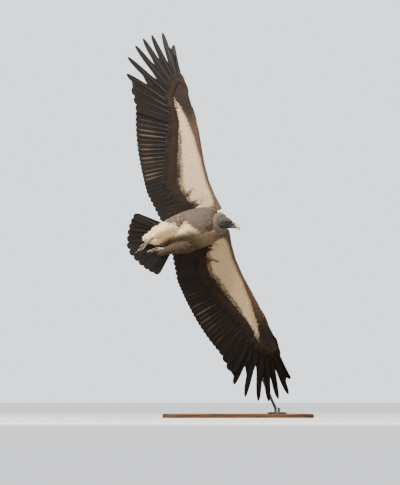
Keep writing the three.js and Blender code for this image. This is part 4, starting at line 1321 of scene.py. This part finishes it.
class Plumes:
    """Many feathers of one piece: three points of each shaft, its outward side, width and colours."""

    def __init__(self):
        self.batches = []

    def add(self, root, mid, tip, up, half, tone, tip_tone, rim, rim_depth):
        """Adds one batch; a value that all its feathers share is spread over them."""
        count = len(root)
        spread = lambda value: np.broadcast_to(value, (count,)).astype(float)
        spread3 = lambda value: np.broadcast_to(value, (count, 3)).astype(float)
        self.batches.append((*map(spread3, (root, mid, tip, up)), spread(half),
            *map(spread3, (tone, tip_tone, rim)), spread(rim_depth)))

    def build(self, name, material, slot, nodes=(), broad=False, fray=0.18, curl=0.07, thickness=0.00035,
            shape=FINE_WIDTH):
        """Shapes the feathers and joins them into one piece."""
        column, row, side, faces = BROAD_SHEET if broad else FINE_SHEET
        along, outline_width = (BROAD_ALONG, BROAD_WIDTH) if broad else (FINE_ALONG, shape)
        root, mid, tip, up, half, tone, tip_tone, rim, rim_depth = (
            np.concatenate([batch[k] for batch in self.batches]) for k in range(9))
        count, corners = len(root), len(column)
        last = column.max()
        c = (2 * column / last - 1)[None, :]
        s = along[row][None, :] * np.ones((count, 1))
        places = list(zip(column.tolist(), row.tolist()))
        twin = [places.index(place) for place in places]
        ragged = dice.uniform(-1, 1, (count, corners))[:, twin]
        last_row = row.max()
        s = s + fray * 0.5 * ragged * (row > 0) * (row >= last_row - 2) - 0.02 * (row == last_row) * np.abs(c)
        s = np.clip(s, 0, 1.04)
        s3 = s[..., None]
        root3, mid3, tip3 = root[:, None], mid[:, None], tip[:, None]
        spine = root3 * (1 - s3) * (1 - 2 * s3) + mid3 * 4 * s3 * (1 - s3) + tip3 * s3 * (2 * s3 - 1)
        tangent = unit(root3 * (4 * s3 - 3) + mid3 * (4 - 8 * s3) + tip3 * (4 * s3 - 1))
        across = unit(np.cross(up[:, None], tangent))
        out = np.cross(tangent, across)
        wave = np.roll(ragged, 1, axis=1)[:, twin]
        w = c * (outline_width[row] * (1 + fray * 1.2 * wave)) * half[:, None]
        lean = dice.uniform(-0.06, 0.06, (count, 1))
        lift = -curl * c ** 2 * np.abs(half[:, None]) + lean * w
        lift = lift + side * thickness * (0.4 + 0.6 * (1 - c ** 2))
        co = spine + across * w[..., None] + out * lift[..., None]

        colour = mixed(tone[:, None], tip_tone[:, None], smooth_step(0.25, 0.95, s))
        edge = smooth_step(0.5, 1.0, np.abs(c)) * smooth_step(0.2, 0.5, s)
        edge = np.maximum(edge, smooth_step(0.86, 1.0, s)) * np.where(side < 0, 0.2, 1)
        colour = mixed(colour, rim[:, None] * np.ones((1, corners, 1)), edge * rim_depth[:, None])
        shade = dice.normal(1, 0.06, (count, 1)).clip(0.8, 1.2) * (0.84 + 0.16 * smooth_step(0, 0.45, s))
        shade = shade * (1 - 0.22 * (np.abs(c) < 0.1) * (1 - s) * broad)
        colour = colour * shade[..., None]
        length = np.linalg.norm(tip - root, axis=1)[:, None]
        vane = vane_place(w, s * length, dice.random((count, 1)))

        patch = PATCH_SIZE * np.stack((column / last - 0.5, along[row] - 0.5), -1)
        uv = uv_at_roots(root)[:, None, None] + patch[faces][None]
        piece = sheets_to_piece(name, co, faces, side == 0, material, uv, colour, vane)
        if nodes:
            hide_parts(*nodes)
        return piece


skin_uv = np.empty(len(skin.data.loops) * 2, np.float32)
skin.data.uv_layers["OFBake"].uv.foreach_get("vector", skin_uv)
skin_uv = skin_uv.reshape(-1, 2)
skin_first_loop = np.array([polygon.loop_start for polygon in skin.data.polygons])


def uv_at_roots(roots):
    """Place on the hide's map of the hide's face nearest to each root."""
    found = [skin_tree.find_nearest(Vector(point))[2] for point in bird_to_display(roots)]
    return skin_uv[skin_first_loop[found]]


def on_hide(points):
    """Nearest points of the hide, a hair beneath its face."""
    beneath = 0.0008
    found = [skin_tree.find_nearest(Vector(point)) for point in bird_to_display(points)]
    return display_to_bird(np.array([spot - normal * beneath for spot, normal, *_ in found]))


def on_outline(points, lift=0.0, reach=0.03):
    """Nearest points of the coat's outline and its normals; points beyond reach stay put."""
    spots, normals, buried = [], [], []
    for point in points:
        spot, normal, _, gap = outline_tree.find_nearest(Vector(point))
        buried.append((Vector(point) - spot).dot(normal))
        spots.append(spot if gap < reach else Vector(point))
        normals.append(normal)
    normals = np.array(normals)
    return np.array(spots) + normals * np.reshape(lift, (-1, 1)), normals, np.array(buried)


def coverts(wing, level):
    """Lesser and median coverts of one face of a wing as drawn on the left: level 1 is the back."""
    plumes = Plumes()
    rows, body_end, tip_end = 25, 0.062, 0.738
    for number in range(rows):
        chord = (number / (rows - 1)) ** 1.4 * 0.97
        pitch = np.interp(chord, (0, 0.5), (0.0070, 0.0095))
        seam = wing.seam_at(np.arange(body_end + 0.5 * pitch * (number % 2), tip_end, pitch))
        seam = seam + dice.uniform(-0.08, 0.08, len(seam))
        chord = chord + dice.uniform(-0.008, 0.008, len(seam)) * (number > 3)
        width = np.linalg.norm(wing.arm(seam, 1, level) - wing.arm(seam, 0, level), axis=1)
        length = np.interp(chord, (0, 0.25, 1), (0.017, 0.029, 0.054)) * dice.uniform(0.85, 1.15, len(seam))
        drift = np.interp(seam, (-1, 10, 24, 33), (0.0, 0.15, 0.5, 1.0)) * length / 0.05
        ahead = length / width
        start = wing.arm(seam, chord, level)
        mid = wing.arm(seam + 0.5 * drift, chord + 0.5 * ahead, level)
        tip = wing.arm(seam + drift, chord + ahead, level)
        span = wing.arm(seam + 0.3, chord + 0.1, level) - wing.arm(seam - 0.3, chord + 0.1, level)
        up = unit(np.cross(tip - start, span))
        up *= np.sign(up[:, 2:]) * level
        inward = wing.arm(seam, chord + 0.02, 0) - start
        deepest = 0.0055
        depth = np.minimum(deepest, 0.6 * np.linalg.norm(inward, axis=1))
        root = start + unit(inward) * depth[:, None]
        tip = tip + up * dice.uniform(0.0003, 0.0010, (len(seam), 1))
        mid = mid + up * 0.0004
        under = np.full(len(seam), 1.0 if level < 0 else 0.0)
        tone = wing_marks(seam, chord + 0.25 * ahead, under)
        tip_tone = wing_marks(seam + drift, chord + 0.9 * ahead, under)
        if level < 0:
            tone, tip_tone = notched(mid, tone), notched(tip, tip_tone)
        rim = tip_tone if level < 0 else mixed(tip_tone, BUFF, 0.8)
        # Near the body, feathers that would start inside it are left out.
        keep = np.ones(len(seam), bool)
        near = seam < 3
        keep[near] = on_outline(wing.place(start)[near])[2] > -0.012
        half = 0.72 * pitch * np.ones(len(seam))
        plumes.add(*(wing.place(v)[keep] for v in (root, mid, tip, up)), half[keep], tone[keep],
            tip_tone[keep], rim[keep], 0.25 if level < 0 else 0.55)
    return plumes


def marginal_coverts(wing):
    """Tiny feathers that wrap the leading edge, laid one over the next towards the wing tip."""
    body_end, tip_end, pitch = 0.060, 0.730, 0.0052
    y = np.arange(body_end, tip_end, pitch)
    y = y + dice.uniform(-0.001, 0.001, len(y))
    along = lambda aside: wing.arm(wing.seam_at(y + aside), 0, 0)
    way = unit(along(0.006) - along(-0.006))
    ahead = unit(np.stack((way[:, 1], -way[:, 0], 0 * y), -1))
    length = dice.uniform(0.016, 0.022, len(y))
    root = along(0) - ahead * 0.0045
    tip = along(length) + ahead * dice.uniform(0.0, 0.0006, (len(y), 1))
    mid = along(0.5 * length) - ahead * 0.0004
    tone = wing_marks(wing.seam_at(y), 0.0, np.full(len(y), 0.5)) * 1.1
    plumes = Plumes()
    plumes.add(*(wing.place(v) for v in (root, mid, tip, ahead)), 0.0068, tone, tone, tone, 0.0)
    return plumes


def quill_coverts(wing, level, start, end, width, tone_of, rim, rim_depth, drop):
    """One row of long coverts, two a quill, lying along the quills from start to end of their length.

    Start, end and half width are tables over the quills' numbers, and drop is the way off the
    shafts at root, middle and tip.
    """
    root, mid, tip, half, tones = [], [], [], [], []
    quills = wing.quills
    for k in np.arange(0, len(quills) - 0.99, 0.5):
        i, share = int(k), k - int(k)
        j = min(i + 1, len(quills) - 1)
        at = lambda t: quills[i].at(t) * (1 - share) + quills[j].at(t) * share
        first, last = np.interp(k, *start), np.interp(k, *end) * dice.uniform(0.94, 1.05)
        for row, t, depth in zip((root, mid, tip), (first, (first + last) / 2, last), drop):
            row.append(at(t) + np.array((0, 0, level * depth)))
        half.append(np.interp(k, *width) * dice.uniform(0.92, 1.08))
        tones.append(tone_of(k))
    plumes = Plumes()
    up = np.tile((0.0, 0.0, float(level)), (len(root), 1))
    tones = np.array(tones)
    plumes.add(*(wing.place(np.array(v)) for v in (root, mid, tip, up)), np.array(half), tones, tones * 0.92,
        rim, rim_depth)
    return plumes


def joined(*many):
    """Several sets of feathers as one."""
    whole = Plumes()
    for plumes in many:
        whole.batches += plumes.batches
    return whole


contour = vane_material("contour_feathers", 0.74, 0.06, 0.16)
WARM_SEPIA = (0.022, 0.0145, 0.0125)
# Quill numbers between which the long coverts change their size.
ALONG_WING, TO_TIP = (0, 6, 22, 33), (0, 20, 33)


def worn_brown(k):
    """Brown of one long upper covert, darker towards the hand."""
    return mixed(mixed(UMBER, SEPIA, 0.35), SEPIA, smooth_step(20, 26, k)) * dice.uniform(0.85, 1.2)


for side, wing in wings.items():
    coverts(wing, -1).build(f"under_coverts_{side}", contour, "pale_feathers")
    marginal_coverts(wing).build(f"marginal_coverts_{side}", contour, "brown_feathers", curl=0.75)
    coverts(wing, 1).build(f"upper_coverts_{side}", contour, "brown_feathers")
    near = quill_coverts(wing, -1, ((0, 12, 20), (0.22, 0.24, 0.28)), (ALONG_WING, (0.50, 0.52, 0.42, 0.40)),
        (TO_TIP, (0.017, 0.014, 0.011)), lambda k: mixed(WARM_SEPIA, SLATE, dice.random()), SEPIA, 0.3,
        (0.0035, 0.0065, 0.0030))
    over = quill_coverts(wing, -1, ((0, 6, 16, 22), (0.17, 0.17, 0.21, 0.24)),
        (ALONG_WING, (0.40, 0.41, 0.37, 0.35)), (TO_TIP, (0.015, 0.012, 0.010)),
        lambda k: mixed(WARM_SEPIA, UMBER, 0.10 * dice.random()), WARM_SEPIA, 0.3, (0.0040, 0.0085, 0.0050))
    joined(near, over).build(f"greater_under_coverts_{side}", contour, "brown_feathers", broad=True,
        fray=0.14)
    near = quill_coverts(wing, 1, ((0,), (0.07,)), (ALONG_WING, (0.44, 0.48, 0.36, 0.32)),
        (TO_TIP, (0.018, 0.015, 0.012)), worn_brown, BUFF, 0.7, (0.0035, 0.0065, 0.0030))
    over = quill_coverts(wing, 1, ((0,), (-0.02,)), (ALONG_WING, (0.30, 0.32, 0.23, 0.20)),
        (TO_TIP, (0.016, 0.013, 0.010)), worn_brown, BUFF, 0.75, (0.0045, 0.0085, 0.0050))
    joined(near, over).build(f"greater_upper_coverts_{side}", contour, "brown_feathers", broad=True,
        fray=0.10)


# ---- Alula --------------------------------------------------------------------------------------
# Four stiff dark feathers on the thumb, folded along the front edge of the hand's upper face, each
# a little shorter than the one before.

def add_alula(side, wing):
    """The thumb's feathers on one wing."""
    plumes = Plumes()
    for k in range(4):
        seam = np.array((22.6 + 0.5 * k,))
        root = wing.arm(seam, 0.10 + 0.04 * k, 0.9)
        tip = wing.arm(seam + 4.6 + 0.9 * (3 - k), 0.13 + 0.09 * k, 1.0) + (0, 0, 0.0030 - 0.0006 * k)
        mid = 0.5 * (root + tip) + (0.002, 0, 0.004)
        up = np.array(((0.0, 0.0, 1.0),))
        plumes.add(*(wing.place(v) for v in (root, mid, tip, up)), 0.0085, mixed(SEPIA, UMBER, 0.3),
            mixed(SEPIA, UMBER, 0.2), BUFF, 0.3)
    plumes.build(f"alula_{side}", flight_vanes, "flight_feathers", broad=True, fray=0.05)


for side, wing in wings.items():
    add_alula(side, wing)


# ---- Trunk feathers -----------------------------------------------------------------------------
# Lance-shaped body feathers in rows from crop to vent: short and brown over the crop, long, loose
# and cream on belly and flanks with painted tan shade on the left, brown on the mantle, white on the lower
# back and rump.

CROP_X, VENT_X, LAST_TIP_X = 0.068, -0.318, -0.345
BODY_PITCH = 0.0068


def body_rows():
    """Seeds round the trunk in staggered rows, as far apart within a row as from row to row."""
    seeds = []
    for number, x in enumerate(np.arange(CROP_X, VENT_X, -BODY_PITCH)):
        width, _, height = trunk_section(x)
        around = 2 * np.pi * np.sqrt((width ** 2 + height ** 2) / 2)
        steps = max(8, int(around / BODY_PITCH))
        turn = (np.arange(steps) + 0.5 * (number % 2)) * 2 * np.pi / steps
        turn = turn + dice.uniform(-0.25, 0.25, steps) * 2 * np.pi / steps
        at_x = x + dice.uniform(-0.3, 0.3, steps) * BODY_PITCH
        seeds.append(np.column_stack((at_x, turn)))
    return np.concatenate(seeds)


def trunk_feathers():
    """Shafts follow the coat's outline; seeds deep inside it, as at the wing's root, are left out."""
    x, turn = body_rows().T
    start = trunk_point(x, turn)
    length = np.interp(x, (-0.30, -0.10, 0.0, 0.05), (0.058, 0.060, 0.050, 0.034))
    length = length * dice.uniform(0.80, 1.2, len(x))
    end = trunk_point(np.maximum(x - length, LAST_TIP_X), turn + dice.uniform(-0.05, 0.05, len(x)))
    under = smooth_step(0.25, -0.25, np.sin(turn))
    tone, tip_tone = trunk_marks(start, under), trunk_marks(end, under)
    rim = mixed(mixed(tip_tone, BUFF, 0.7), tip_tone * 1.04, under)
    first, first_normal, buried = on_outline(start)
    middle, middle_normal, _ = on_outline(0.5 * (start + end), 0.0005)
    last, last_normal, _ = on_outline(end, dice.uniform(0.0002, 0.0014, len(x)))
    facing = unit(first_normal + middle_normal + last_normal)
    keep = buried > -0.007
    plumes = Plumes()
    plumes.add(*(v[keep] for v in (on_hide(first), middle, last, facing, length * 0.11, tone, tip_tone,
        rim)), 0.4)
    return plumes


trunk_feathers().build("trunk_feathers", contour, "pale_feathers", fray=0.20, shape=LANCE_WIDTH)


# ---- Thighs -------------------------------------------------------------------------------------
# Loose cream feathers over thigh and upper shank, hanging over the heel as short trousers; on the
# left thigh they are painted tan as shade. Each thigh is a soft cone from the hip to the heel.

def add_thigh(side):
    """The feathers of one thigh, in rings down its length."""
    knee, heel, _, trouser = LEGS[side]
    hip = knee * (1, 0.9, 1) + (0.045, 0, 0.020)
    line = [hip, knee, knee + (heel - knee) * 0.45 - (0, 0, 0.004), knee + (heel - knee) * 0.8, trouser]
    path = curve_through(np.column_stack((line, np.array((24, 46, 42, 31, 14)) * MM)), 200)
    gone = np.concatenate(((0,), np.cumsum(np.linalg.norm(np.diff(path[:, :3], axis=0), axis=1))))
    at = lambda way: np.stack([np.interp(way, gone, column) for column in path.T], -1)
    overhang = 0.040 if side == "left" else 0.018
    feather, ring_pitch, pitch = 0.054, 0.0064, 0.0062
    plumes = Plumes()
    for number, s in enumerate(np.arange(0.012, gone[-1] - 0.026, ring_pitch)):
        here = at(s)
        along = unit(at(s + 0.01)[:3] - at(s - 0.01)[:3])
        across = unit(np.cross((0.0, 0.0, 1.0), along))
        above = np.cross(along, across)
        steps = max(12, int(2 * np.pi * here[3] / pitch))
        turn = (np.arange(steps) + 0.5 * (number % 2)) * 2 * np.pi / steps + dice.uniform(-0.15, 0.15, steps)
        out = np.cos(turn)[:, None] * across + np.sin(turn)[:, None] * above
        length = feather * dice.uniform(0.8, 1.2, steps)
        start = here[:3] + out * here[3]
        ahead = np.minimum(s + length, gone[-1] + dice.uniform(-0.008, overhang, steps))
        ring = at(ahead)
        centre = ring[:, :3] + along * np.maximum(ahead - gone[-1], 0)[:, None]
        end = centre + out * (ring[:, 3] + dice.uniform(0.0005, 0.003, steps))[:, None]
        middle = 0.5 * (start + end) + out * 0.002
        keep = on_outline(start)[2] > -0.008
        tone = trunk_marks(np.maximum(start, (-0.255, -1, -1)), smooth_step(0.35, -0.15, out[:, 2]))
        plumes.add(*(v[keep] for v in (on_hide(start), middle, end, out, length * 0.12, tone, tone * 1.03,
            mixed(tone, WHITE, 0.12))), 0.4)
    plumes.build(f"thigh_feathers_{side}", contour, "pale_feathers", fray=0.22, shape=LANCE_WIDTH)


for side in LEGS:
    add_thigh(side)


# ---- Scapulars and axillaries -------------------------------------------------------------------
# Long brown shoulder feathers with pale rims bridge back and wing above; below, a fan of dark
# axillaries fills the armpit between flank and tertials.

def height_of_back(points):
    """Height of the coat's outline seen from above at each point, or 0 where there is none."""
    hits = [outline_tree.ray_cast(Vector((x, y, 0.2)), Vector((0, 0, -1)), 0.4)[0] for x, y, _ in points]
    return np.array([0.0 if hit is None else hit.z for hit in hits])


def add_scapulars(side, wing):
    """Six rows of shoulder feathers over the wing's root, resting on the back."""
    plumes = Plumes()
    count = 9
    brown = mixed(UMBER, SEPIA, 0.4)
    for row in range(6):
        x = 0.040 - 0.026 * row + dice.uniform(-0.004, 0.004, count)
        y = np.linspace(0.044, 0.090, count) + 0.004 * (row % 2)
        length = np.interp(row, (0, 5), (0.062, 0.096)) * dice.uniform(0.92, 1.08, count)
        start = np.stack((x, y, np.full(count, 0.05)), -1)
        aside = np.interp(y, (0.05, 0.12), (0.02, 0.10))
        end = start + length[:, None] * unit(np.stack((-np.ones(count), aside, np.zeros(count)), -1))
        middle = 0.5 * (start + end)
        below_start, below_middle, below_end = (height_of_back(wing.place(v)) for v in (start, middle, end))
        start[:, 2] = below_start - 0.004
        middle[:, 2] = below_middle + 0.0035
        end[:, 2] = np.minimum(np.maximum(below_end, 0.004) + 0.004, below_middle + 0.004)
        tone = brown * dice.uniform(0.8, 1.25, (count, 1))
        plumes.add(*(wing.place(v) for v in (start, middle, end)), (0.0, 0.0, 1.0), length * 0.17, tone,
            tone, BUFF, 0.6)
    plumes.build(f"scapulars_{side}", contour, "brown_feathers", broad=True, fray=0.10)


def add_axillaries(side, wing):
    """Two fans of feathers under the wing's root."""
    plumes = Plumes()
    count = 9
    share = np.linspace(0, 1, count)
    for row in range(2):
        x = -0.045 - 0.030 * row - 0.030 * share
        start = np.stack((x, 0.092 + 0.050 * share, -0.016 - 0.004 * share), -1)
        length = np.interp(share, (0, 1), (0.150, 0.120)) * dice.uniform(0.93, 1.07, count)
        fan = np.radians(np.interp(share, (0, 1), (-3, 7)))
        way = np.stack((-np.cos(fan), np.sin(fan), np.full(count, -0.01)), -1)
        end = start + way * length[:, None]
        end[:, 2] = -0.020 + 0.004 * share
        middle = 0.5 * (start + end) + (0, 0, -0.005)
        tone = mixed(WARM_SEPIA, SEPIA, dice.random(count))
        plumes.add(*(wing.place(v) for v in (start, middle, end)), (0.0, 0.0, -1.0), 0.011, tone, tone,
            SEPIA, 0.2)
    plumes.build(f"axillaries_{side}", contour, "brown_feathers", broad=True, fray=0.12)


for side, wing in wings.items():
    add_scapulars(side, wing)
    add_axillaries(side, wing)


# ---- Tail coverts -------------------------------------------------------------------------------
# Soft tapering feathers that hide the roots of the tail: cream below the vent, dark brown with
# paler rims above.

def tail_covert_fan(level, last_x, aside, half_width, z, depth, tone, rim):
    """Eight rows of feathers from the rump or the vent out over the tail's roots."""
    plumes = Plumes()
    for row in range(8):
        count = 16 - row % 2
        share = np.linspace(-1, 1, count) + dice.uniform(-0.03, 0.03, count)
        x = -0.262 - 0.0115 * row
        width, middle_z, height = trunk_section(x)
        bow = np.sqrt(np.maximum(1 - 0.9 * share ** 2, 0.04))
        start = np.stack((x + 0 * share, share * width * 0.92, middle_z + level * height * bow * 0.8), -1)
        reach = last_x + 0.085 * np.abs(share) ** 2 + 0.045 * (7 - row) / 7
        reach = reach + dice.uniform(-0.006, 0.006, count)
        fan = aside + half_width * share * np.interp(reach, (last_x, last_x + 0.1), (0.55, 1.0))
        end = np.stack((reach, fan, z + level * depth * bow * np.interp(row, (0, 7), (0.9, 0.4))), -1)
        middle = 0.5 * (start + end) + np.stack((0 * share, 0.004 * share, level * 0.005 * bow), -1)
        up = unit(np.stack((0 * share, 0.5 * share, level + 0 * share), -1))
        colours = tone(end) * dice.uniform(0.92, 1.06, (count, 1))
        plumes.add(on_hide(start), middle, end, up, 0.0105, colours, colours, rim, 0.35)
    return plumes


def vent_tone_with_painted_shadow(co):
    """Cream, with the crossing leg's shadow painted brown over the bird's left side."""
    return mixed(CREAM, mixed(UMBER, SEPIA, 0.4), smooth_step(-0.012, 0.012, co[:, 1]))


def rump_tone(co):
    """Dark brown all over."""
    return np.tile(mixed(UMBER, SEPIA, 0.5), (len(co), 1))


vent = tail_covert_fan(-1, -0.412, -0.030, 0.043, -0.026, 0.021, vent_tone_with_painted_shadow, CREAM)
vent.build("undertail_coverts", contour, "pale_feathers", nodes=("tail_coverts_under",), broad=True,
    fray=0.20)
rump = tail_covert_fan(1, -0.390, 0.0, 0.060, -0.008, 0.013, rump_tone, BUFF)
rump.build("uppertail_coverts", contour, "brown_feathers", nodes=("tail_coverts_upper",), broad=True,
    fray=0.12)


# ---- Ruff ---------------------------------------------------------------------------------------
# A collar of soft, curved down at the foot of the neck, open below the throat where the brown
# crop shows; single wisps stand off its rim.

RUFF_AXIS = unit(np.array((0.93, 0.10, -0.34)))
RUFF_CENTRE = np.array((73, 6, -46)) * MM
RUFF_PROFILE = np.array([(27, 8), (37, 17), (49, 14), (56, 4), (57, -8), (50, -19), (36, -20)]) * MM
ruff_side = unit(np.cross((0.0, 0.0, 1.0), RUFF_AXIS))
ruff_top = np.cross(RUFF_AXIS, ruff_side)


def on_ruff(turn, radius, ahead):
    """Point of the collar: turn 0 is the bird's left, a quarter turn its nape."""
    out = np.cos(turn)[..., None] * ruff_side + np.sin(turn)[..., None] * ruff_top
    radius = radius + 0.005 * np.maximum(np.cos(turn), 0)
    return RUFF_CENTRE + out * np.asarray(radius)[..., None] + RUFF_AXIS * np.asarray(ahead)[..., None], out


def ruff_down():
    """Rings of plumes that follow the collar's profile from its front rim round to its rear one."""
    plumes = Plumes()
    stations = np.linspace(0, 1, len(RUFF_PROFILE))
    spot = lambda s, k: np.interp(s, stations, RUFF_PROFILE[:, k])
    for begin in np.linspace(-0.08, 0.80, 18):
        count = int(235 + 110 * begin)
        turn = (np.arange(count) + dice.uniform(0, 1)) * 2 * np.pi / count + dice.uniform(-0.04, 0.04, count)
        clump = 0.5 + 0.5 * np.sin(turn * 9 + 5 * begin) * np.sin(turn * 5 + 2)
        begin = begin + dice.uniform(-0.06, 0.06, count)
        finish = begin + dice.uniform(0.24, 0.42, count)
        turn_end = turn + dice.normal(0, 0.10, count) + 0.10 * np.sin(turn * 7)
        root, _ = on_ruff(turn, spot(begin, 0) - 0.011, spot(begin, 1) - 0.004)
        halfway = 0.5 * (begin + finish)
        middle, _ = on_ruff(0.5 * (turn + turn_end), spot(halfway, 0), spot(halfway, 1))
        proud = dice.uniform(-0.003, 0.004, count) + 0.005 * clump * smooth_step(0.1, 0.6, begin)
        end, end_out = on_ruff(turn_end, spot(finish, 0) + proud, spot(finish, 1) + proud * 0.4)
        facing = unit(end_out + RUFF_AXIS * np.interp(begin, (0, 0.6), (0.8, 0.0))[:, None])
        below = smooth_step(0.2, -0.8, np.sin(turn))
        tone = mixed(DOWN, (0.17, 0.125, 0.095), 0.8 * below) * dice.uniform(0.88, 1.06, (count, 1))
        plumes.add(root, middle, end, facing, dice.uniform(0.0009, 0.0016, count), tone * 0.92, tone * 1.05,
            mixed(tone, WHITE, 0.3), 0.3)
    return plumes


down = vane_material("down", 0.9, 0.45, 0.10)
ruff_down().build("ruff_down", down, "ruff_down", nodes=("ruff",), fray=0.4, curl=0.3, thickness=0.0003,
    shape=LANCE_WIDTH)


# ---- Neck and head down -------------------------------------------------------------------------
# Short sparse down on the bare neck and a thin bloom of hair-like down on crown, nape and cheek;
# the face round eye, lore and bill stays bare.

def head_down():
    """Hairs rooted in the hide's own vertices, thinned out to an even distance."""
    plumes = Plumes()
    cap_reach, cap_front, cap_back = 0.085, 0.026, -0.075
    half_width, root_depth, lift = 0.00036, 0.0006, 0.10
    head = bird_to_head(skin_co)
    x = head[:, 0]
    near = np.linalg.norm(skin_co - head_to_bird(np.zeros(3)), axis=1) < cap_reach
    index = np.flatnonzero(near & (x < cap_front) & (x > cap_back))
    dice.shuffle(index)
    chosen = {}
    for k in index:
        apart = np.interp(x[k], (-0.06, -0.02, 0.02), (0.0026, 0.0024, 0.0026))
        chosen.setdefault(tuple((skin_co[k] / apart).astype(int)), k)
    chosen = np.array(list(chosen.values()))
    place, facing, local = skin_co[chosen], skin_normal[chosen], head[chosen]
    bare = np.hypot((local[:, 0] - EYE[0]) / 0.0150, (local[:, 2] - EYE[2]) / 0.0125) < 1
    ear = np.hypot((local[:, 0] + 0.0165) / 0.0052, (local[:, 2] + 0.0045) / 0.0066) < 1
    face = (local[:, 0] > 0.006) & (local[:, 2] < 0.006)
    keep = ~(bare | ear | face)
    place, facing, local = place[keep], facing[keep], local[keep]
    back = unit(head_to_bird(np.array((-1.0, 0.0, -0.25))) - head_to_bird(np.zeros(3)))
    lie = unit(back - facing * (facing @ back)[:, None])
    lie = unit(lie + 0.35 * dice.normal(0, 1, lie.shape) * (1 - 0.5 * np.abs(facing)))
    count = len(place)
    length = np.interp(local[:, 0], (-0.06, -0.03, 0.02), (0.0090, 0.0068, 0.0044))
    length = (length * dice.uniform(0.7, 1.25, count))[:, None]
    root = place - facing * root_depth
    middle = place + lie * length * 0.5 + facing * (lift * length)
    end = place + lie * length + facing * (lift * length)
    pale = smooth_step(0.000, 0.020, local[:, 2]) * 0.35 + 0.55 * smooth_step(-0.012, -0.050, local[:, 0])
    tone = mixed((0.030, 0.028, 0.030), (0.19, 0.175, 0.16), pale)
    plumes.add(root, middle, end, facing, half_width, tone, tone * 1.1, tone, 0.0)
    return plumes


head_down().build("head_down", down, "ruff_down", fray=0.3, curl=0.1, thickness=0.00012)
